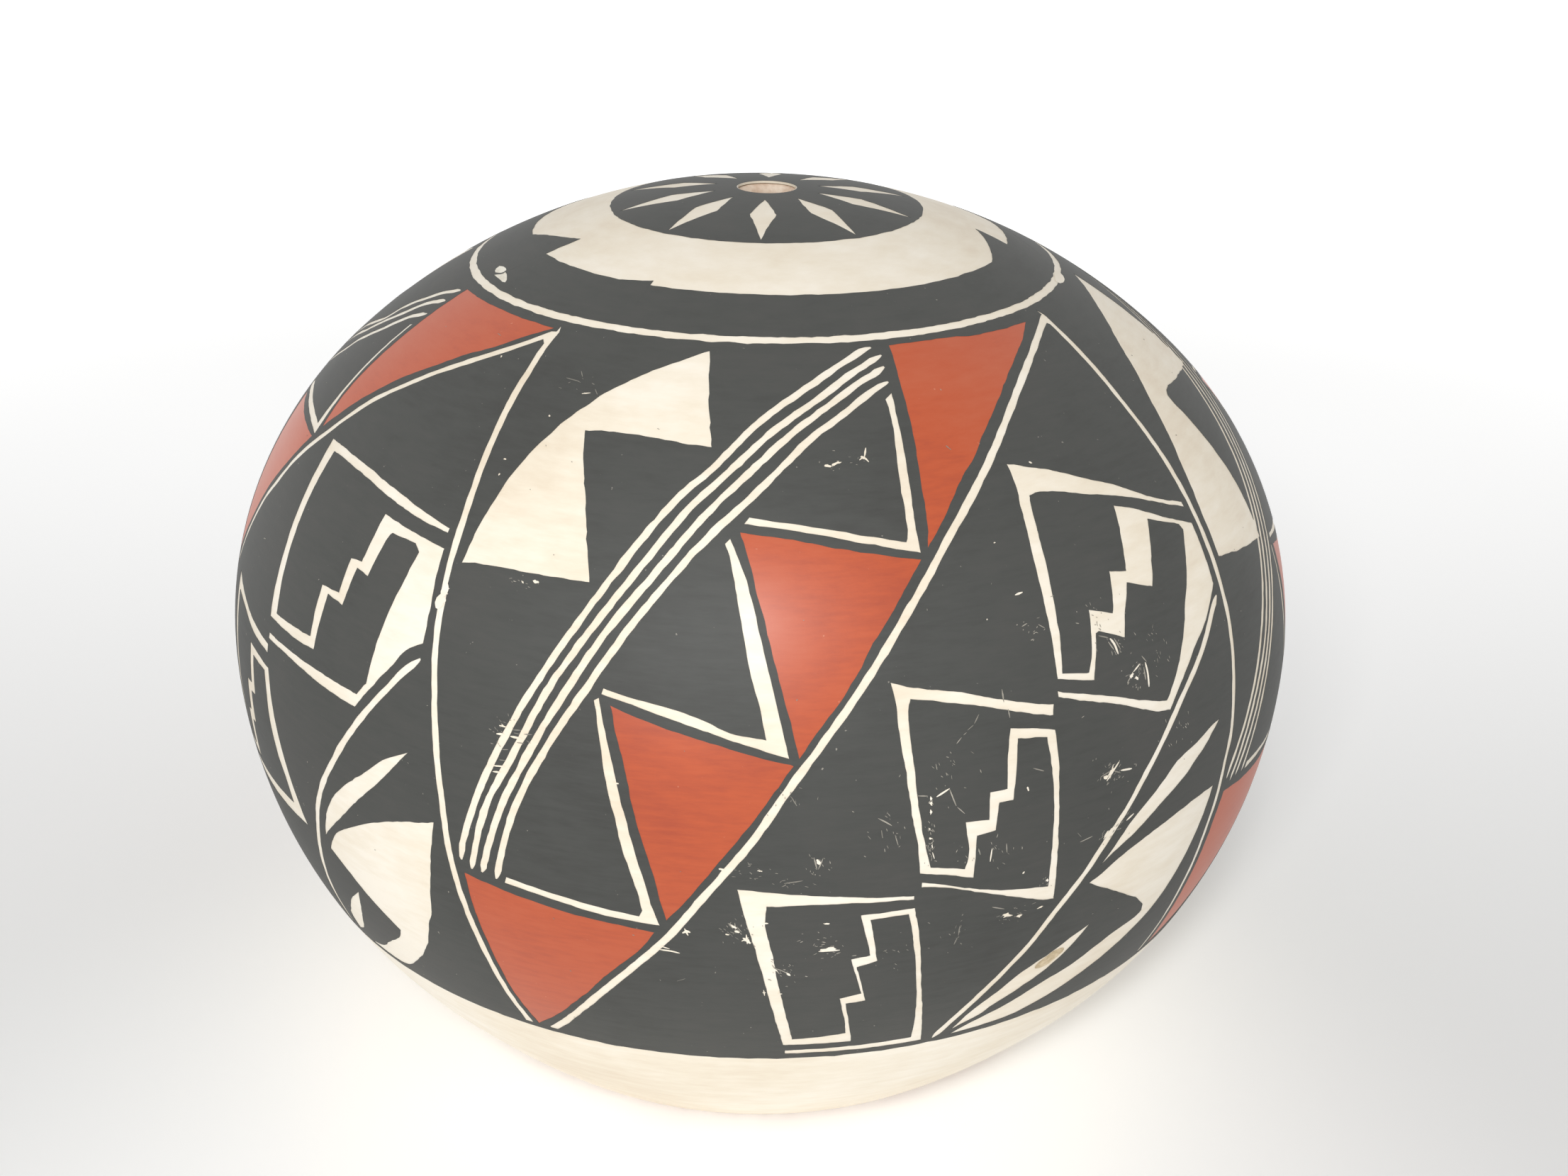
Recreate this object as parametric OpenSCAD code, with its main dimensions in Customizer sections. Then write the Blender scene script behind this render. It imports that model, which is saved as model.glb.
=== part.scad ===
// Seed jar: a low, wide, coil-built pot closed in over the top to a small round mouth.
// A cream clay coat covers the wall, and black and red paint lies on that coat.
// Origin: centre of the flat foot. The axis is +Z and the first painted panel faces -Y.
// Points of the painted panels are [degrees round the pot, millimetres down the wall from the top].

/* [Wall profile] */
// Largest radius of the pot, over the paint
belly_r = 95; // [92:0.5:98]
// Height of the largest radius above the foot
belly_z = 75; // [73:0.5:78]
// Radius of the arc below the largest radius
belly_arc = 87; // [84:0.5:90]
// Degrees the belly arc turns before the lower wall begins
belly_turn = 40; // [39:0.5:41]
// Radius of the flatter arc of the lower wall
lower_arc = 182; // [170:1:195]
// Radius of the shoulder arc above the largest radius
shoulder_arc = 66; // [64:0.5:68]
// Degrees the shoulder arc turns before the dome begins
shoulder_turn = 48; // [47:0.5:49]

/* [Clay] */
// Thickness of the clay wall
clay_t = 5; // [4:0.1:6.5]
// Thickness of the floor
floor_t = 6; // [5:0.1:8]
// Radius of the mouth
mouth_r = 4.5; // [3.5:0.1:6]
// Width of the rounded ring of clay left round the mouth
mouth_ring_w = 10; // [8:0.5:12]
// Distance each joint between coils slants along the wall
lap = 2; // [0:0.1:3]
// Share of the lower wall that is one piece with the floor
floor_share = 0.413; // [0.3:0.001:0.5]

/* [Coat and paint] */
// Thickness of the cream coat
coat_t = 0.4; // [0.3:0.05:0.6]
// Thickness of the paint
paint_t = 0.3; // [0.2:0.05:0.5]
// Height above the foot at which the cream coat stops
coat_stop_z = 3; // [2:0.5:5]
// Width of the long cream lines left between the painted fields
line_w = 1.2; // [0.8:0.1:1.6]
// Width of each fine cream line
fine_w = 1.1; // [0.8:0.1:1.3]
// Width of the cream line round the shoulder
ring_w = 1.4; // [1:0.1:2]
// Share of the dome, from the top, that lies inside that line
ring_share = 0.6413; // [0.63:0.0001:0.65]
// Share of the belly arc below the largest radius that the painted band covers
band_share = 0.6678; // [0.65:0.0001:0.7]

/* [Top] */
// Width of the black border above the shoulder line
border_w = 1.6; // [1.2:0.1:2.4]
// Rays painted round the mouth
ray_count = 10; // [6:1:14]
// Width of each ray at its widest
ray_w = 4.4; // [3:0.2:5]
// Distance from the top to the inner ends of the rays
ray_inner_s = 9; // [8:0.5:11]
// Distance from the top to the edge of the black disc the rays are cut from
disc_s = 27; // [25:0.5:30]
// Teeth standing on the shoulder line
tooth_count = 10; // [8:1:11]
// Distance the teeth reach up the wall
tooth_h = 12; // [9:0.5:15]
// Degrees of border left bare between one tooth and the next
tooth_gap = 3; // [1:0.5:6]

/* [Hidden] */
$fn = 96;
panel_count = 4;
panel_mid = 13.5;
look_up = 18;
over = 4;
to_deg = 180 / PI;
quarter_turn = 90;

// the distances down the wall between which the panel is drawn below
drawn_top = 52.8;
drawn_foot = 176;

// centres of the wall's four arcs, and the lengths along the wall at which one passes to the next
belly_cr = belly_r - belly_arc;
shoulder_cr = belly_r - shoulder_arc;
dome_arc = (shoulder_cr + shoulder_arc * cos(shoulder_turn)) / cos(shoulder_turn);
dome_cz = belly_z + shoulder_arc * sin(shoulder_turn) - dome_arc * sin(shoulder_turn);
lower_cr = belly_cr + (belly_arc - lower_arc) * cos(belly_turn);
lower_cz = belly_z - (belly_arc - lower_arc) * sin(belly_turn);
dome_s = dome_arc * (quarter_turn - shoulder_turn) / to_deg;
equator_s = dome_s + shoulder_arc * shoulder_turn / to_deg;
belly_s = equator_s + belly_arc * belly_turn / to_deg;
foot_angle = asin(-lower_cz / lower_arc);
foot_s = belly_s + lower_arc * (-belly_turn - foot_angle) / to_deg;
skin_t = paint_t + coat_t;
ring_s = ring_share * dome_s;
band_top = ring_s + ring_w;
band_end_s = equator_s + band_share * (belly_s - equator_s);

// the joints between the rings of clay, as distances down the wall
mouth_joint_s = mouth_r + mouth_ring_w;
floor_joint_s = foot_s - floor_share * (foot_s - belly_s);
crown_step = (dome_s - mouth_joint_s) / 4;
shoulder_step = (equator_s - dome_s) / 4;
belly_step = (belly_s - equator_s) / 4;

base_slab();
lower_coil();
belly_coil_1();
belly_coil_2();
belly_coil_3();
belly_coil_4();
shoulder_coil_1();
shoulder_coil_2();
shoulder_coil_3();
shoulder_coil_4();
crown_coil_1();
crown_coil_2();
crown_coil_3();
crown_coil_4();
mouth_coil();
cream_coat();
top_disc();
top_teeth();
sweep_field_1();
sweep_field_2();
sweep_field_3();
sweep_field_4();
fret_field_1();
fret_field_2();
fret_field_3();
fret_field_4();
red_patches_1();
red_patches_2();
red_patches_3();
red_patches_4();

function on_arc(cr, cz, r, a) = [cr + r * cos(a), cz + r * sin(a)];

// point [radius, height] at s down the wall from the top and d under the painted surface
function wall(s, d = 0) =
  s < dome_s ? on_arc(0, dome_cz, dome_arc - d, 90 - s / dome_arc * to_deg)
  : s < equator_s ? on_arc(shoulder_cr, belly_z, shoulder_arc - d,
      shoulder_turn - (s - dome_s) / shoulder_arc * to_deg)
  : s < belly_s ? on_arc(belly_cr, belly_z, belly_arc - d, -(s - equator_s) / belly_arc * to_deg)
  : on_arc(lower_cr, lower_cz, lower_arc - d, -belly_turn - (s - belly_s) / lower_arc * to_deg);

// everything within one arc of the wall, from its centre outwards
module arc_sector(cr, cz, r, a0, a1) {
  intersection() {
    translate([cr, cz]) circle(r);
    polygon([[cr, cz], on_arc(cr, cz, 1.4 * r, a0), on_arc(cr, cz, 1.4 * r, a1)]);
  }
}

// half of a layer of the wall: from d0 to d1 under the painted surface
module layer(cr, cz, r, a0, a1, d0, d1) {
  difference() {
    arc_sector(cr, cz, r - d0, a0, a1);
    translate([cr, cz]) circle(r - d1);
  }
}

module half_layer(d0, d1) {
  layer(0, dome_cz, dome_arc, shoulder_turn, quarter_turn, d0, d1);
  layer(shoulder_cr, belly_z, shoulder_arc, 0, shoulder_turn, d0, d1);
  layer(belly_cr, belly_z, belly_arc, -belly_turn, 0, d0, d1);
  layer(lower_cr, lower_cz, lower_arc, foot_angle - 3, -belly_turn, d0, d1);
}

// a strip across the wall between two joints that slant by slant along it
module span(s0, s1, d0, d1, slant) {
  steps = ceil((s1 - s0) / 18);
  polygon(concat(
    [for (i = [0 : steps]) wall(s0 + (s1 - s0) * i / steps, d0 - over)],
    [for (i = [steps : -1 : 0]) wall(s0 - slant + (s1 - s0) * i / steps, d1 + over / 2)]));
}

module cut_layer(s0, s1, d0, d1, slant) {
  intersection() {
    half_layer(d0, d1);
    span(s0, s1, d0, d1, slant);
  }
}

// centre and radius of the one arc that a ring of clay follows
function arc_of(s) =
  s < dome_s ? [0, dome_cz, dome_arc]
  : s < equator_s ? [shoulder_cr, belly_z, shoulder_arc]
  : s < belly_s ? [belly_cr, belly_z, belly_arc]
  : [lower_cr, lower_cz, lower_arc];

module ring_profile(s0, s1) {
  arc = arc_of((s0 + s1) / 2);
  intersection() {
    translate([arc[0], arc[1]]) difference() {
      circle(arc[2] - skin_t);
      circle(arc[2] - skin_t - clay_t);
    }
    span(s0, s1, skin_t, skin_t + clay_t, lap);
  }
}

module coil(s0, s1) {
  color([0.80, 0.72, 0.62]) rotate_extrude() ring_profile(s0, s1);
}

// rings of clay, from the foot up

module base_slab() {
  color([0.78, 0.70, 0.60]) rotate_extrude() {
    intersection() {
      translate([lower_cr, lower_cz]) circle(lower_arc - skin_t);
      square([belly_r, floor_t]);
    }
    intersection() {
      ring_profile(floor_joint_s, foot_s + over);
      square([belly_r, belly_z]);
    }
  }
}

module lower_coil() coil(belly_s, floor_joint_s);
module belly_coil_1() coil(equator_s + 3 * belly_step, belly_s);
module belly_coil_2() coil(equator_s + 2 * belly_step, equator_s + 3 * belly_step);
module belly_coil_3() coil(equator_s + belly_step, equator_s + 2 * belly_step);
module belly_coil_4() coil(equator_s, equator_s + belly_step);
module shoulder_coil_1() coil(dome_s + 3 * shoulder_step, equator_s);
module shoulder_coil_2() coil(dome_s + 2 * shoulder_step, dome_s + 3 * shoulder_step);
module shoulder_coil_3() coil(dome_s + shoulder_step, dome_s + 2 * shoulder_step);
module shoulder_coil_4() coil(dome_s, dome_s + shoulder_step);
module crown_coil_1() coil(mouth_joint_s + 3 * crown_step, dome_s);
module crown_coil_2() coil(mouth_joint_s + 2 * crown_step, mouth_joint_s + 3 * crown_step);
module crown_coil_3() coil(mouth_joint_s + crown_step, mouth_joint_s + 2 * crown_step);
module crown_coil_4() coil(mouth_joint_s, mouth_joint_s + crown_step);

// the last ring, with the mouth bored through it
module mouth_coil() {
  color([0.80, 0.72, 0.62]) rotate_extrude() difference() {
    ring_profile(mouth_r / 2, mouth_joint_s);
    square([mouth_r, 2 * belly_r]);
  }
}

module cream_coat() {
  color([0.93, 0.88, 0.78]) rotate_extrude() difference() {
    cut_layer(0.5, foot_s + over, paint_t, skin_t, 0);
    square([mouth_r, 2 * belly_r]);
    translate([0, -belly_r]) square([2 * belly_r, belly_r + coat_stop_z]);
  }
}

// a skin of paint between two distances down the wall
module paint_skin(s0, s1) {
  rotate_extrude() cut_layer(s0, s1, 0, paint_t, 0);
}

// degrees that the panel fills as drawn: the painter crowded it towards the foot
function drawn_width(s) = 93.5 - 0.178 * (s - 55);

// a drawn point opened out so that the panels fill the round, and moved into this pot's band
function even(p) = [
  p[0] * 360 / panel_count / drawn_width(p[1]) - panel_mid,
  band_top + (p[1] - drawn_top) * (band_end_s - band_top) / (drawn_foot - drawn_top)];

// a point of a panel as seen from in front and a little above
function flat(p) = let (w = wall(p[1]))
  [w[0] * sin(p[0]), w[1] * cos(look_up) - w[0] * cos(p[0]) * sin(look_up)];

// one side of a line drawn on the wall, h away from its middle
function beside(l, i, h) = let (
    a = l[max(i - 1, 0)],
    b = l[min(i + 1, len(l) - 1)],
    k = wall(l[i][1])[0] / to_deg,
    dx = (b[0] - a[0]) * k,
    dy = b[1] - a[1],
    n = norm([dx, dy]))
  [l[i][0] - dy / n * h / k, l[i][1] + dx / n * h];

function ribbon(l, w) = concat(
  [for (i = [0 : len(l) - 1]) beside(l, i, w / 2)],
  [for (i = [len(l) - 1 : -1 : 0]) beside(l, i, -w / 2)]);

// a point of a panel as seen from straight above; beyond the dome it is laid further out
function from_top(p) = let (r = wall(min(p[1], dome_s))[0] + max(p[1] - dome_s, 0))
  [r * sin(p[0]), -r * cos(p[0])];

// an outline on the wall, flattened from above for the dome or from in front for the rest
module flattened(outline, top) {
  polygon([for (p = outline) top ? from_top(p) : flat(p)]);
}

module drawn(outline, top) flattened([for (p = outline) even(p)], top);

module drawn_line(line, w, top) flattened(ribbon([for (p = line) even(p)], w), top);

// paint on one panel: the first child is its drawing from above, the second from in front
module panel_paint(i) {
  rotate([0, 0, panel_mid + i * 360 / panel_count]) {
    intersection() {
      paint_skin(band_top, dome_s);
      linear_extrude(height = 2 * belly_r) children(0);
    }
    intersection() {
      paint_skin(dome_s, band_end_s);
      rotate([90 - look_up, 0, 0]) linear_extrude(height = 2 * belly_r) children(1);
    }
  }
}

// long lines that part the fields
sweep_line = [[57.5, 56.4], [45, 62.5], [35, 70.9], [26, 81.7], [18.5, 93.2], [12.5, 104.8],
  [6.5, 117.3], [1.5, 129.5], [-3.3, 140.5], [-9.9, 154.9], [-15.4, 166.3], [-19.8, 174.7]];
upright_line = [[-35.1, 56], [-33, 75], [-31.1, 92], [-29.2, 113], [-27.3, 131], [-25, 156],
  [-22.6, 174.7]];

// swept side: a quarter lens, four fine lines and three bent strips
lens = [[-7.1, 54.8], [-15, 59.6], [-20, 64.2], [-25, 72.2], [-27.8, 80.8], [-28.9, 88.3],
  [-29.5, 95.6], [-15.1, 94.7], [-17.2, 85], [-21, 71.7], [-12.2, 71.4], [-4.4, 72.3], [-6.5, 58]];
fine_lines = [
  [[20, 54.4], [12.1, 58.4], [4.2, 64.8], [-1.2, 71.3], [-7.1, 80.3], [-12.3, 92], [-18.6, 110],
    [-23.9, 130], [-25.5, 139.5]],
  [[20.7, 56], [15.1, 59.2], [7, 65.7], [0.9, 72.1], [-3.8, 78.9], [-8.7, 88], [-17.2, 110],
    [-22.7, 130], [-24.5, 140]],
  [[20.6, 58.3], [15.1, 61.5], [7.1, 68.2], [1.5, 74.7], [-3.5, 82], [-6.6, 88], [-15.6, 110],
    [-21.3, 130], [-23.4, 140.2]],
  [[20.2, 61.2], [15.1, 64.4], [8.4, 70.1], [2.6, 77.5], [-2.7, 85], [-6, 90.8], [-14, 110],
    [-20, 130], [-22, 140.4]]];
bent_strips = [
  [[20.3, 62.4], [19.1, 75], [18.2, 89.7], [7.9, 86.1], [0, 84.6], [0.6, 83.2], [7.9, 84.8],
    [16.9, 87.9], [17.6, 79.4], [18.9, 64.6]],
  [[-1.4, 86.6], [1.5, 98.6], [3.3, 109.9], [4.4, 117.5], [-4, 113.4], [-12.2, 110.3],
    [-11.9, 109.2], [-3.2, 112.1], [2.4, 114.9], [0.9, 105.2], [-2, 87.6]],
  [[-12.5, 110.9], [-10.1, 124.4], [-8.1, 136.4], [-6.7, 145], [-12.2, 144.2], [-21.1, 142.1],
    [-20.9, 140.8], [-12.2, 142.8], [-8.3, 143.6], [-9.9, 132], [-13.1, 112]]];
reds = [
  [[22.9, 54.2], [52.3, 55.4], [44.9, 59.8], [35.4, 67.2], [27.4, 76.2], [22.9, 82.4], [19.2, 88.6],
    [20.1, 79.2], [21.4, 68]],
  [[-0.4, 85.7], [10.7, 88.5], [17.7, 90.9], [12.1, 101.6], [8.8, 109.4], [5.3, 117], [3.4, 105.8],
    [1.5, 94.7]],
  [[-11.4, 111.6], [-4, 114.8], [4.5, 118.8], [-0.1, 129.4], [-4.4, 139.4], [-6.1, 143.4],
    [-7.8, 132.8], [-9.7, 120.4]],
  [[-25, 142.4], [-15, 145], [-7.4, 146.6], [-11.9, 155.6], [-16.3, 164.8], [-21.4, 174],
    [-23.4, 160]]];

// stepped side: three frets, each one unbroken stroke, and three leaves beyond the divider
frets = [
  [[54.4, 93.6], [47.1, 89], [39.9, 85.7], [33, 83.9], [32.1, 88], [30.6, 110.2], [33.6, 111.2],
    [35.1, 102.3], [37.9, 103.8], [39.05, 97.8], [41.3, 98.6], [43.4, 88.8], [49.4, 92.4],
    [54.4, 96.3], [54.1, 106.3], [46.6, 115.8], [43.2, 121.1], [34.3, 115.9], [29.8, 113.6],
    [29.8, 112.4], [34.3, 114.6], [42.6, 119.2], [48.2, 106.9], [52.1, 96.4], [47.4, 93.2],
    [44.2, 102.2], [40.9, 100.2], [38.7, 107.8], [35.5, 106], [34.1, 112.6], [29.9, 111],
    [30.2, 94.7], [31.6, 78.2], [41.6, 83.6], [50, 90], [54.5, 92.6]],
  [[29.3, 115.9], [21.8, 112.5], [15.2, 110.2], [15.5, 122.7], [16.9, 135.7], [18.6, 136.2],
    [20.2, 129.3], [22.2, 129.4], [22.3, 125.2], [24, 125.2], [24.6, 116.2], [29.1, 117.8],
    [29.3, 130], [29.8, 146.4], [24.6, 143.6], [16.2, 139.2], [16.2, 138], [24.6, 142.1],
    [28.8, 143.6], [28.7, 126.9], [28.2, 119], [25.3, 118], [24.6, 127.1], [23.2, 127],
    [22.9, 131.4], [21.2, 131.7], [20.9, 138.6], [16, 136.9], [14.6, 120.5], [13.5, 107.5],
    [19.8, 109.8], [29.4, 114.2]],
  [[15.6, 141.2], [8, 140.7], [2.6, 140.6], [3.7, 155], [5.4, 169.6], [10.8, 169], [9.6, 159.7],
    [11.6, 158.9], [10.3, 151.3], [12, 150.7], [10.9, 142.7], [15.9, 142.6], [17.3, 157.8],
    [19.1, 175.2], [4.8, 175.2], [4.8, 173.6], [17.8, 173.2], [16.8, 157.8], [15.2, 143.9],
    [11.9, 143.8], [12.8, 152.1], [11, 153], [12.2, 160.7], [10.4, 161.2], [11.5, 171.7],
    [4.4, 171.9], [2.6, 155.6], [0.2, 137.4], [9.3, 139.1], [15.6, 140.1]]];
divider = [[53.6, 108.8], [50.1, 113.5], [45.6, 119.4], [41.3, 126.5], [37, 134.9], [33.2, 143],
  [28.3, 154.6], [23.8, 165.3], [20.6, 174.6]];
leaves = [
  [[51.2, 127.2], [44.1, 130], [39.9, 134.7], [34.8, 143], [40.4, 137.8], [47.1, 131.7]],
  [[33.8, 145.7], [39.9, 141.4], [51.1, 139], [48.8, 150], [45.2, 160], [38.2, 168], [31.6, 173],
    [22.2, 174.9], [31.6, 166.4], [37.7, 161.9], [43.4, 158.3], [41.8, 154.4], [37.9, 150]],
  [[35.4, 155.1], [29.3, 160.3], [25.7, 165.6], [22.4, 173.1], [28.8, 165.8], [32.7, 160.8]]];

// the two fields of a panel, each a region of the band between the long lines
sweep_bounds = [[-35.6, 52.8], [59, 52.8], [59, 55.2], [45, 62.5], [35, 70.9], [26, 81.7],
  [18.5, 93.2], [12.5, 104.8], [6.5, 117.3], [1.5, 129.5], [-3.3, 140.5], [-9.9, 154.9],
  [-15.4, 166.3], [-20.4, 178], [-22.2, 178], [-25, 156], [-27.3, 131], [-29.2, 113], [-31.1, 92],
  [-33, 75]];

fret_bounds = [[57.6, 57], [45, 62.5], [35, 70.9], [26, 81.7], [18.5, 93.2], [12.5, 104.8],
  [6.5, 117.3], [1.5, 129.5], [-3.3, 140.5], [-9.9, 154.9], [-15.4, 166.3], [-20.4, 178],
  [-5, 181], [10, 181], [25, 181], [38, 181], [49.4, 178], [50.9, 160], [53.2, 131], [54.8, 113],
  [55.8, 92], [56.6, 75]];

module sweep_drawing(top) {
  difference() {
    drawn(sweep_bounds, top);
    drawn_line(sweep_line, line_w, top);
    drawn_line(upright_line, line_w, top);
    drawn(lens, top);
    for (l = fine_lines) drawn_line(l, fine_w, top);
    for (o = bent_strips) drawn(o, top);
    for (o = reds) drawn(o, top);
  }
}

module fret_drawing(top) {
  difference() {
    drawn(fret_bounds, top);
    drawn_line(sweep_line, line_w, top);
    drawn_line(divider, line_w, top);
    for (o = frets) drawn(o, top);
    for (o = leaves) drawn(o, top);
  }
}

module red_drawing(top) {
  for (o = reds) drawn(o, top);
}

module sweep_field(i) {
  color([0.12, 0.11, 0.11]) panel_paint(i) {
    sweep_drawing(true);
    sweep_drawing(false);
  }
}

module fret_field(i) {
  color([0.12, 0.11, 0.11]) panel_paint(i) {
    fret_drawing(true);
    fret_drawing(false);
  }
}

module red_patches(i) {
  color([0.72, 0.33, 0.18]) panel_paint(i) {
    red_drawing(true);
    red_drawing(false);
  }
}

module sweep_field_1() sweep_field(0);
module sweep_field_2() sweep_field(1);
module sweep_field_3() sweep_field(2);
module sweep_field_4() sweep_field(3);
module fret_field_1() fret_field(0);
module fret_field_2() fret_field(1);
module fret_field_3() fret_field(2);
module fret_field_4() fret_field(3);
module red_patches_1() red_patches(0);
module red_patches_2() red_patches(1);
module red_patches_3() red_patches(2);
module red_patches_4() red_patches(3);

// black disc round the mouth with cream rays left in it
module top_disc() {
  color([0.12, 0.11, 0.11]) difference() {
    intersection() {
      rotate_extrude() cut_layer(0.5, disc_s, 0, paint_t, 0);
      difference() {
        cylinder(r = belly_r, h = 2 * belly_r);
        translate([0, 0, -1]) cylinder(r = mouth_r, h = 2 * belly_r + 2);
      }
    }
    for (i = [0 : ray_count - 1]) rotate([0, 0, i * 360 / ray_count])
      linear_extrude(height = 2 * belly_r) ray();
  }
}

module ray() {
  polygon([[0, -ray_inner_s], [ray_w / 2, -0.6 * disc_s], [0, 1 - disc_s], [-ray_w / 2, -0.6 * disc_s]]);
}

// black border over the shoulder line, with slanting teeth standing on it
module top_teeth() {
  color([0.12, 0.11, 0.11]) intersection() {
    paint_skin(ring_s - tooth_h - 2, ring_s);
    union() {
      difference() {
        cylinder(r = belly_r, h = 2 * belly_r);
        translate([0, 0, -1]) cylinder(r = wall(ring_s - border_w)[0], h = 2 * belly_r + 2);
      }
      for (i = [0 : tooth_count - 1]) rotate([0, 0, i * 360 / tooth_count])
        linear_extrude(height = 2 * belly_r) tooth();
    }
  }
}

module tooth() {
  foot = wall(ring_s - border_w / 2)[0];
  tip = wall(ring_s - tooth_h)[0];
  far = 360 / tooth_count - tooth_gap;
  polygon([[0, -tip], [0, -foot], [-foot * sin(far / 2), -foot * cos(far / 2)],
    [-foot * sin(far), -foot * cos(far)]]);
}
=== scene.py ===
import math
import random

import bpy
from bpy.props import FloatProperty, FloatVectorProperty, IntProperty, PointerProperty
from mathutils import Matrix, Vector, geometry, noise


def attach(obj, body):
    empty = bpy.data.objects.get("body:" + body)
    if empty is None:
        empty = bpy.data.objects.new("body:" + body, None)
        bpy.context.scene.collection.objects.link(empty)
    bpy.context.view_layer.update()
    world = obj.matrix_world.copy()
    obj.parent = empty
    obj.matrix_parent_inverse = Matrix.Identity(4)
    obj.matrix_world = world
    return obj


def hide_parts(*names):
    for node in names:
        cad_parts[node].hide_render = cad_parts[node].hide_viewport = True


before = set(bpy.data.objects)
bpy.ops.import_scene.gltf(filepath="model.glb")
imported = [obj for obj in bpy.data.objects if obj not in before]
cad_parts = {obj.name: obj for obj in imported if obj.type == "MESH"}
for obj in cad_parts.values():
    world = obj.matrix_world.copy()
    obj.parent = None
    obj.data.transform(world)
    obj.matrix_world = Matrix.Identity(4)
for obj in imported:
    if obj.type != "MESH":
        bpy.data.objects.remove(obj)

bl_info = {
    "name": "Painted Seed Jar",
    "version": (1, 0, 0),
    "blender": (4, 5, 0),
    "location": "View3D > Sidebar > Seed Jar",
    "description": "Dresses a coil-built seed jar in slip, paint and wear, and sets its stage",
    "category": "Object",
}

MM = 0.001

# Driving sizes of the wall's four tangent arcs, in mm and degrees, as in the solids
BELLY_R, BELLY_Z = 95.0, 75.0
SHOULDER_ARC, SHOULDER_TURN = 66.0, 48.0
BELLY_ARC, BELLY_TURN = 87.0, 40.0
LOWER_ARC = 182.0
FLOOR_Z = 6.0
CLAY_IN = 5.7
MOUTH_R = 4.5

# Places in mm down the wall from the middle of the top, and the width of the band's borders
RING_TOP = 51.4
BAND_TOP = 52.8
BAND_FOOT = 176.0
FOOT_S = 222.8
BORDER = 1.1

# Height of each layer's face over the turned wall, and its thickness, in mm
SLIP_LIFT, SLIP_THICK = -0.09, 0.35
RED_LIFT, RED_THICK = -0.05, 0.03
PAINT_LIFT, PAINT_THICK = -0.03, 0.05
MARK_THICK = 0.03
RUBBED_LIFT = PAINT_LIFT + 0.012
SCUFF_LIFT = PAINT_LIFT + 0.018
CHIP_LIFT = PAINT_LIFT + 0.02

# mm that stand for a degree where the wall is laid flat, and the turn that makes a corner
FLAT_DEGREE = 1.5
CORNER = 30.0

# Noise per mm: the wall's dips come about every 45 mm, the swelling of a brush line every
# 3 mm, and the slow and the quick wander of an edge every 1.8 and 0.5 mm
WALL_DIPS, LINE_SWELLS, SLOW_EDGE, QUICK_EDGE = 0.022, 0.35, 0.55, 1.9

# How far each kind of painted edge wanders, as a share of the brush shake
LONG_EDGE, STRIP_EDGE, SHAPE_EDGE, RING_EDGE = 0.6, 0.7, 0.8, 1.2


# Colours and materials

def tint(code):
    """An sRGB hex value as linear RGB with alpha 1."""
    parts = [int(code[i:i + 2], 16) / 255 for i in (1, 3, 5)]
    return [c / 12.92 if c <= 0.04045 else ((c + 0.055) / 1.055) ** 2.4 for c in parts] + [1.0]


def add(tree, kind, settings=None, **links):
    """Adds a node with its settings, sets or links each named input, and returns it."""
    node = tree.nodes.new(kind)
    for key, value in (settings or {}).items():
        if key == "stops":
            ramp = node.color_ramp
            while len(ramp.elements) < len(value):
                ramp.elements.new(0.5)
            for element, (place, colour) in zip(ramp.elements, value):
                element.position = place
                element.color = colour
        else:
            setattr(node, key, value)
    for key, value in links.items():
        by_place = key[0] == "i" and key[1:].isdigit()
        socket = node.inputs[int(key[1:]) if by_place else key.replace("_", " ")]
        if isinstance(value, bpy.types.NodeSocket):
            tree.links.new(value, socket)
        else:
            socket.default_value = value
    return node


def every(mm):
    """The noise scale at which a pattern comes back about every mm millimetres."""
    return 1.0 / (mm * MM)


def pattern(tree, place, mm, detail, rough=0.5):
    """A cloudy pattern about mm millimetres wide."""
    return add(tree, "ShaderNodeTexNoise", Vector=place, Scale=every(mm), Detail=detail,
               Roughness=rough).outputs["Fac"]


def blend(tree, share, first, second):
    """Two patterns in one, with a share of the second."""
    return add(tree, "ShaderNodeMix", {"data_type": "FLOAT"}, i0=share, i2=first,
               i3=second).outputs[0]


def shades(tree, value, *stops):
    """The colours that a pattern runs through."""
    return add(tree, "ShaderNodeValToRGB", {"stops": stops}, Fac=value).outputs[0]


def relief(tree, height, strength, mm):
    """A bump mm millimetres high."""
    return add(tree, "ShaderNodeBump", Strength=strength, Distance=mm * MM,
               Height=height).outputs[0]


def reckon(tree, operation, *values):
    """A sum of node values and numbers."""
    return add(tree, "ShaderNodeMath", {"operation": operation},
               **{f"i{n}": value for n, value in enumerate(values)}).outputs[0]


def fade(tree, value, start, end, low, high):
    """A smooth change from low to high while a value goes from start to end."""
    return add(tree, "ShaderNodeMapRange", {"interpolation_type": "SMOOTHSTEP"}, i0=value,
               i1=start, i2=end, i3=low, i4=high).outputs[0]


def new_material(name):
    """An empty material, its node tree, and the place on the object that its patterns use."""
    material = bpy.data.materials.new(name)
    material.use_nodes = True
    tree = material.node_tree
    tree.nodes.clear()
    return material, tree, add(tree, "ShaderNodeTexCoord").outputs["Object"]


def surface(tree, **looks):
    """Ends a material in one surface."""
    skin = add(tree, "ShaderNodeBsdfPrincipled", IOR=1.5, **looks)
    add(tree, "ShaderNodeOutputMaterial", Surface=skin.outputs[0])


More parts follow.
